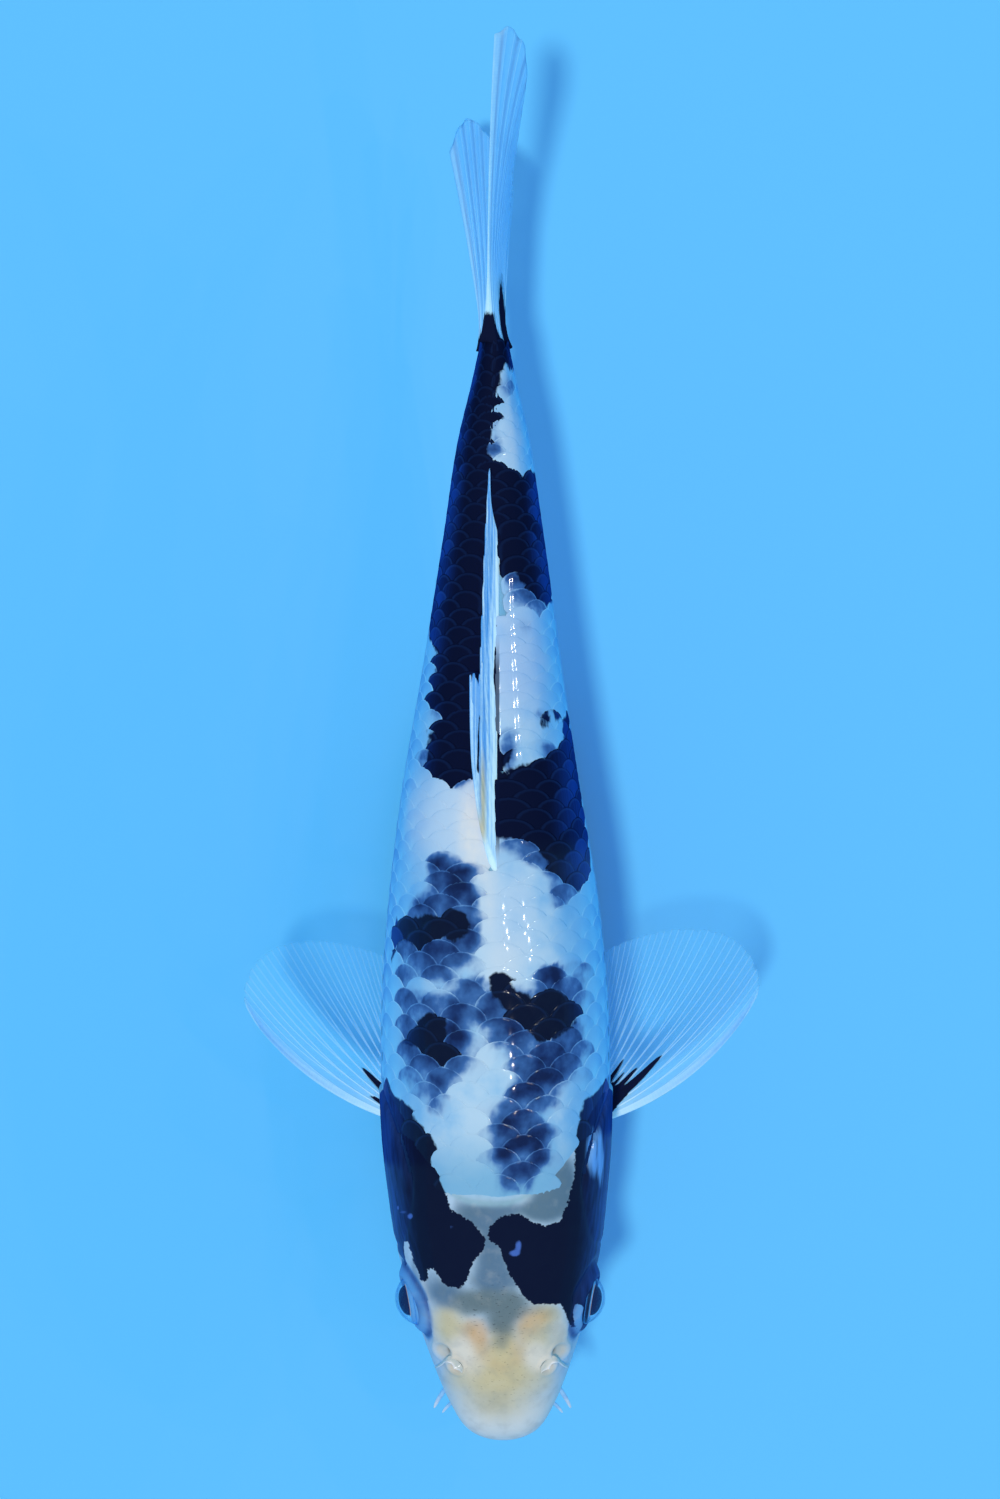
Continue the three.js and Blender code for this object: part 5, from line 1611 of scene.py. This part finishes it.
def add_anal():
    paint = fin_paint("anal_web", web_alpha=0.3, ray_alpha=0.5, ray_width=0.45, tint=(104, 180, 242))
    add_fin("anal", "anal_fin", anal_place, rays=8, thick=(2.4, 0.5, 0.3), paint=paint, steps=30)


add_anal()


# ------------------------------------------------------------------------------------------------------
# The tail fin
# Two lobes joined at a fork, cupped by the last sweep of the tail, so that both outer edges trail to the
# fish's right. The black of the tail stalk runs out on to the roots of the rays.
# ------------------------------------------------------------------------------------------------------

# The margin of each lobe: share across its rays, reach behind the root, and x of the ray's end.
UPPER_LOBE = np.array([
    [0, 82, -1.5], [0.07, 84.7, 2], [0.16, 82, 6], [0.27, 75, 7.4], [0.42, 64, 6], [0.62, 52, 4],
    [1, 39, 2.6],
])
LOWER_LOBE = np.array([
    [0, 61, -14.8], [0.1, 68, -12], [0.22, 70, -8.5], [0.35, 65, -4.5], [0.6, 55, 2], [0.8, 47, 3.6],
    [1, 39, 2.6],
])
TAIL_ROOT = 311.3
# The black that runs out on to the rays: x, distance.
TAIL_BLACK = {
    "prong": [
        (-5.4, 306), (-4.9, 311), (-4.2, 315), (-3.2, 320.5), (-2.4, 315), (-1.4, 310.5), (-0.6, 306),
    ],
    "wedge": [
        (-1.8, 306), (-1.5, 315), (-1.2, 322), (-0.5, 328), (0.1, 331), (0.6, 327), (1.3, 320),
        (1.5, 311), (3.6, 310), (3.6, 306),
    ],
    "spot": [(-3.4, 318), (-3.1, 319.6), (-2.6, 319.4), (-2.6, 317.8)],
    "edge": [(-6.6, 306), (-6.3, 317), (-5.8, 319), (-5.3, 312), (-5.2, 306)],
}


def tail_place(rows, sign, root_x, fan, bend_power):
    """Rays spread by up to fan degrees from the fork, bowed inwards, and swung aside as out^bend_power."""
    reach, tip = curve_through(rows[:, :2]), curve_through(rows[:, ::2])

    def place(ray, out):
        from_fork = 1 - ray
        slope = np.tan(np.radians(1.5 + fan * from_fork**1.2))
        behind = reach(ray) * out
        height = 0.8 + 19 * from_fork + slope * behind - 4 * from_fork * np.sin(np.pi * out)
        start = root_x + (1 - root_x) * ray**0.8
        x = start + (tip(ray) - start) * out**bend_power
        return np.stack([x, SNOUT_Y + TAIL_ROOT + behind, AXIS_Z + 1 + sign * height], -1)

    return place


def tail_marks(ray, length, x, distance):
    """Black inside the outlines at the roots of the rays."""
    return {"ink": 1.6 * patch_depth(TAIL_BLACK, x, distance)}


def add_tail():
    paint = fin_paint(
        "tail_web", web_alpha=0.6, ray_alpha=0.5, ray_width=0.3, tint=(108, 192, 246), whiteness=0.6,
        lead_rays=0.4, seam=0.55,
    )
    upper = tail_place(UPPER_LOBE, 1, root_x=-3.5, fan=19.5, bend_power=2.5)
    lower = tail_place(LOWER_LOBE, -1, root_x=-4.8, fan=25, bend_power=1.2)
    for name, place in (("upper", upper), ("lower", lower)):
        add_fin(
            f"tail_{name}", f"tail_fin_{name}", place, rays=12, thick=(5.5, 0.7, 0.4), paint=paint,
            marks=tail_marks, steps=56, fade=9.0,
        )


add_tail()


# ------------------------------------------------------------------------------------------------------
# The display stand
# An oval steel base with a rounded edge, lacquered black, stands on the floor. Two brushed steel rods are
# screwed into it through small collars, and rise to the belly.
# ------------------------------------------------------------------------------------------------------

BASE_EDGE = 3.0
BASE_TURNS = 160
FOOT_GAP = 0.4  # the underside is hollow by this much inside its rim
RIM_WIDTH = 12
GROOVE_FROM, GROOVE_MIDDLE, GROOVE_TO, GROOVE_DEPTH = 8.0, 8.6, 9.2, 0.35  # in from the base's edge
COLLAR = {"radius": 5.6, "height": 3.0, "edge": 0.7}
ROD_TURNS = 48
ROD_BELOW, ROD_ABOVE = 1.2, 0.6  # how far a rod runs on into the base and into the belly
STAND_TONES = {
    "lacquer_low": (20, 21, 24), "lacquer_high": (34, 35, 39), "steel_low": (142, 145, 150),
    "steel_high": (186, 189, 193),
}


def lacquer_paint():
    """Black lacquer with a faint grain and soft wear of the gloss."""
    paint = Paint("black_lacquer", Coat_Roughness=0.08)
    fine = paint.noise(900.0, 3.0)
    broad = paint.noise(30.0, 3.0)
    colour = paint.blend(broad, STAND_TONES["lacquer_low"], STAND_TONES["lacquer_high"])
    relief = paint.bump(fine, 0.00004, 0.4)
    worn, gloss = 0.34 + 0.16 * broad, 0.3 + 0.3 * broad
    return paint.feed(Base_Color=colour, Roughness=worn, Coat_Weight=gloss, Normal=relief)


def steel_paint():
    """Steel brushed round the rod: fine rings of lighter and darker grain."""
    paint = Paint("brushed_steel", Metallic=1.0)
    grain = paint.noise(1.0, 2.0, paint.drawn_out(60.0, 60.0, 9000.0))
    colour = paint.blend(grain, STAND_TONES["steel_low"], STAND_TONES["steel_high"])
    relief = paint.bump(grain, 0.00002, 0.5)
    return paint.feed(Base_Color=colour, Roughness=0.26 + 0.16 * grain, Normal=relief)


def add_base():
    """The profile runs from the middle of the underside, round the edge, to the middle of the top. Each
    ring is the oval drawn in by the profile's inset."""
    low, high = (np.array(corner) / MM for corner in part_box("stand_base"))
    middle, half = (low + high) / 2, (high - low) / 2
    centre, top, floor = half[0] - 0.2, high[2], low[2]
    bend = np.linspace(-np.pi / 2, np.pi / 2, 15)
    edge = BASE_EDGE * (1 - np.cos(bend))
    inset = np.concatenate([[centre, RIM_WIDTH], edge, [GROOVE_FROM, GROOVE_MIDDLE, GROOVE_TO, centre]])
    rise = BASE_EDGE * np.sin(bend)
    arch = np.where(bend < 0, floor + BASE_EDGE + rise, top - BASE_EDGE + rise)
    sunk = top - GROOVE_DEPTH
    height = np.concatenate([[FOOT_GAP, FOOT_GAP], arch, [top, sunk, sunk, sunk]])
    t = np.linspace(0, 2 * np.pi, BASE_TURNS, endpoint=False)
    x = middle[0] + (half[0] - inset)[:, None] * np.cos(t)
    y = middle[1] + (half[1] - inset)[:, None] * np.sin(t)
    points, faces = closed_rings(np.stack([x, y, np.broadcast_to(height[:, None], x.shape)], -1))
    made = add_mesh("stand_base_oval", points, faces, lacquer_paint())
    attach(made, "root")
    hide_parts("stand_base")


def add_rods():
    """Each rod is turned about its own axis: a collar with a rounded top edge, then the bare rod."""
    paint = steel_paint()
    edge, wide_part, tall = COLLAR["edge"], COLLAR["radius"], COLLAR["height"]
    turn = np.linspace(0, np.pi / 2, 6)
    for word in ("front", "rear"):
        low, high = (np.array(corner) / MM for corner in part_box(f"stand_rod_{word}"))
        middle = (low + high) / 2
        rod = (high[0] - low[0]) / 2
        start, collar_top, end = low[2] - ROD_BELOW, low[2] + tall, high[2] + ROD_ABOVE
        rounded_edge = wide_part - edge + edge * np.cos(turn)
        radius = np.concatenate([[0.1, wide_part], rounded_edge, [rod + 0.3, rod], [rod, 0.1]])
        level = collar_top - edge + edge * np.sin(turn)
        height = np.concatenate([[start, start], level, [collar_top, collar_top + 0.3], [end, end]])
        foot = np.array([middle[0], middle[1], 0])
        rings = turned_about(foot, np.array([0, 1e-6, 1.0]), radius, height, ROD_TURNS)
        points, faces = closed_rings(rings)
        made = add_mesh(f"rod_{word}", points, faces, paint)
        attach(made, "root")
        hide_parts(f"stand_rod_{word}")


add_base()
add_rods()
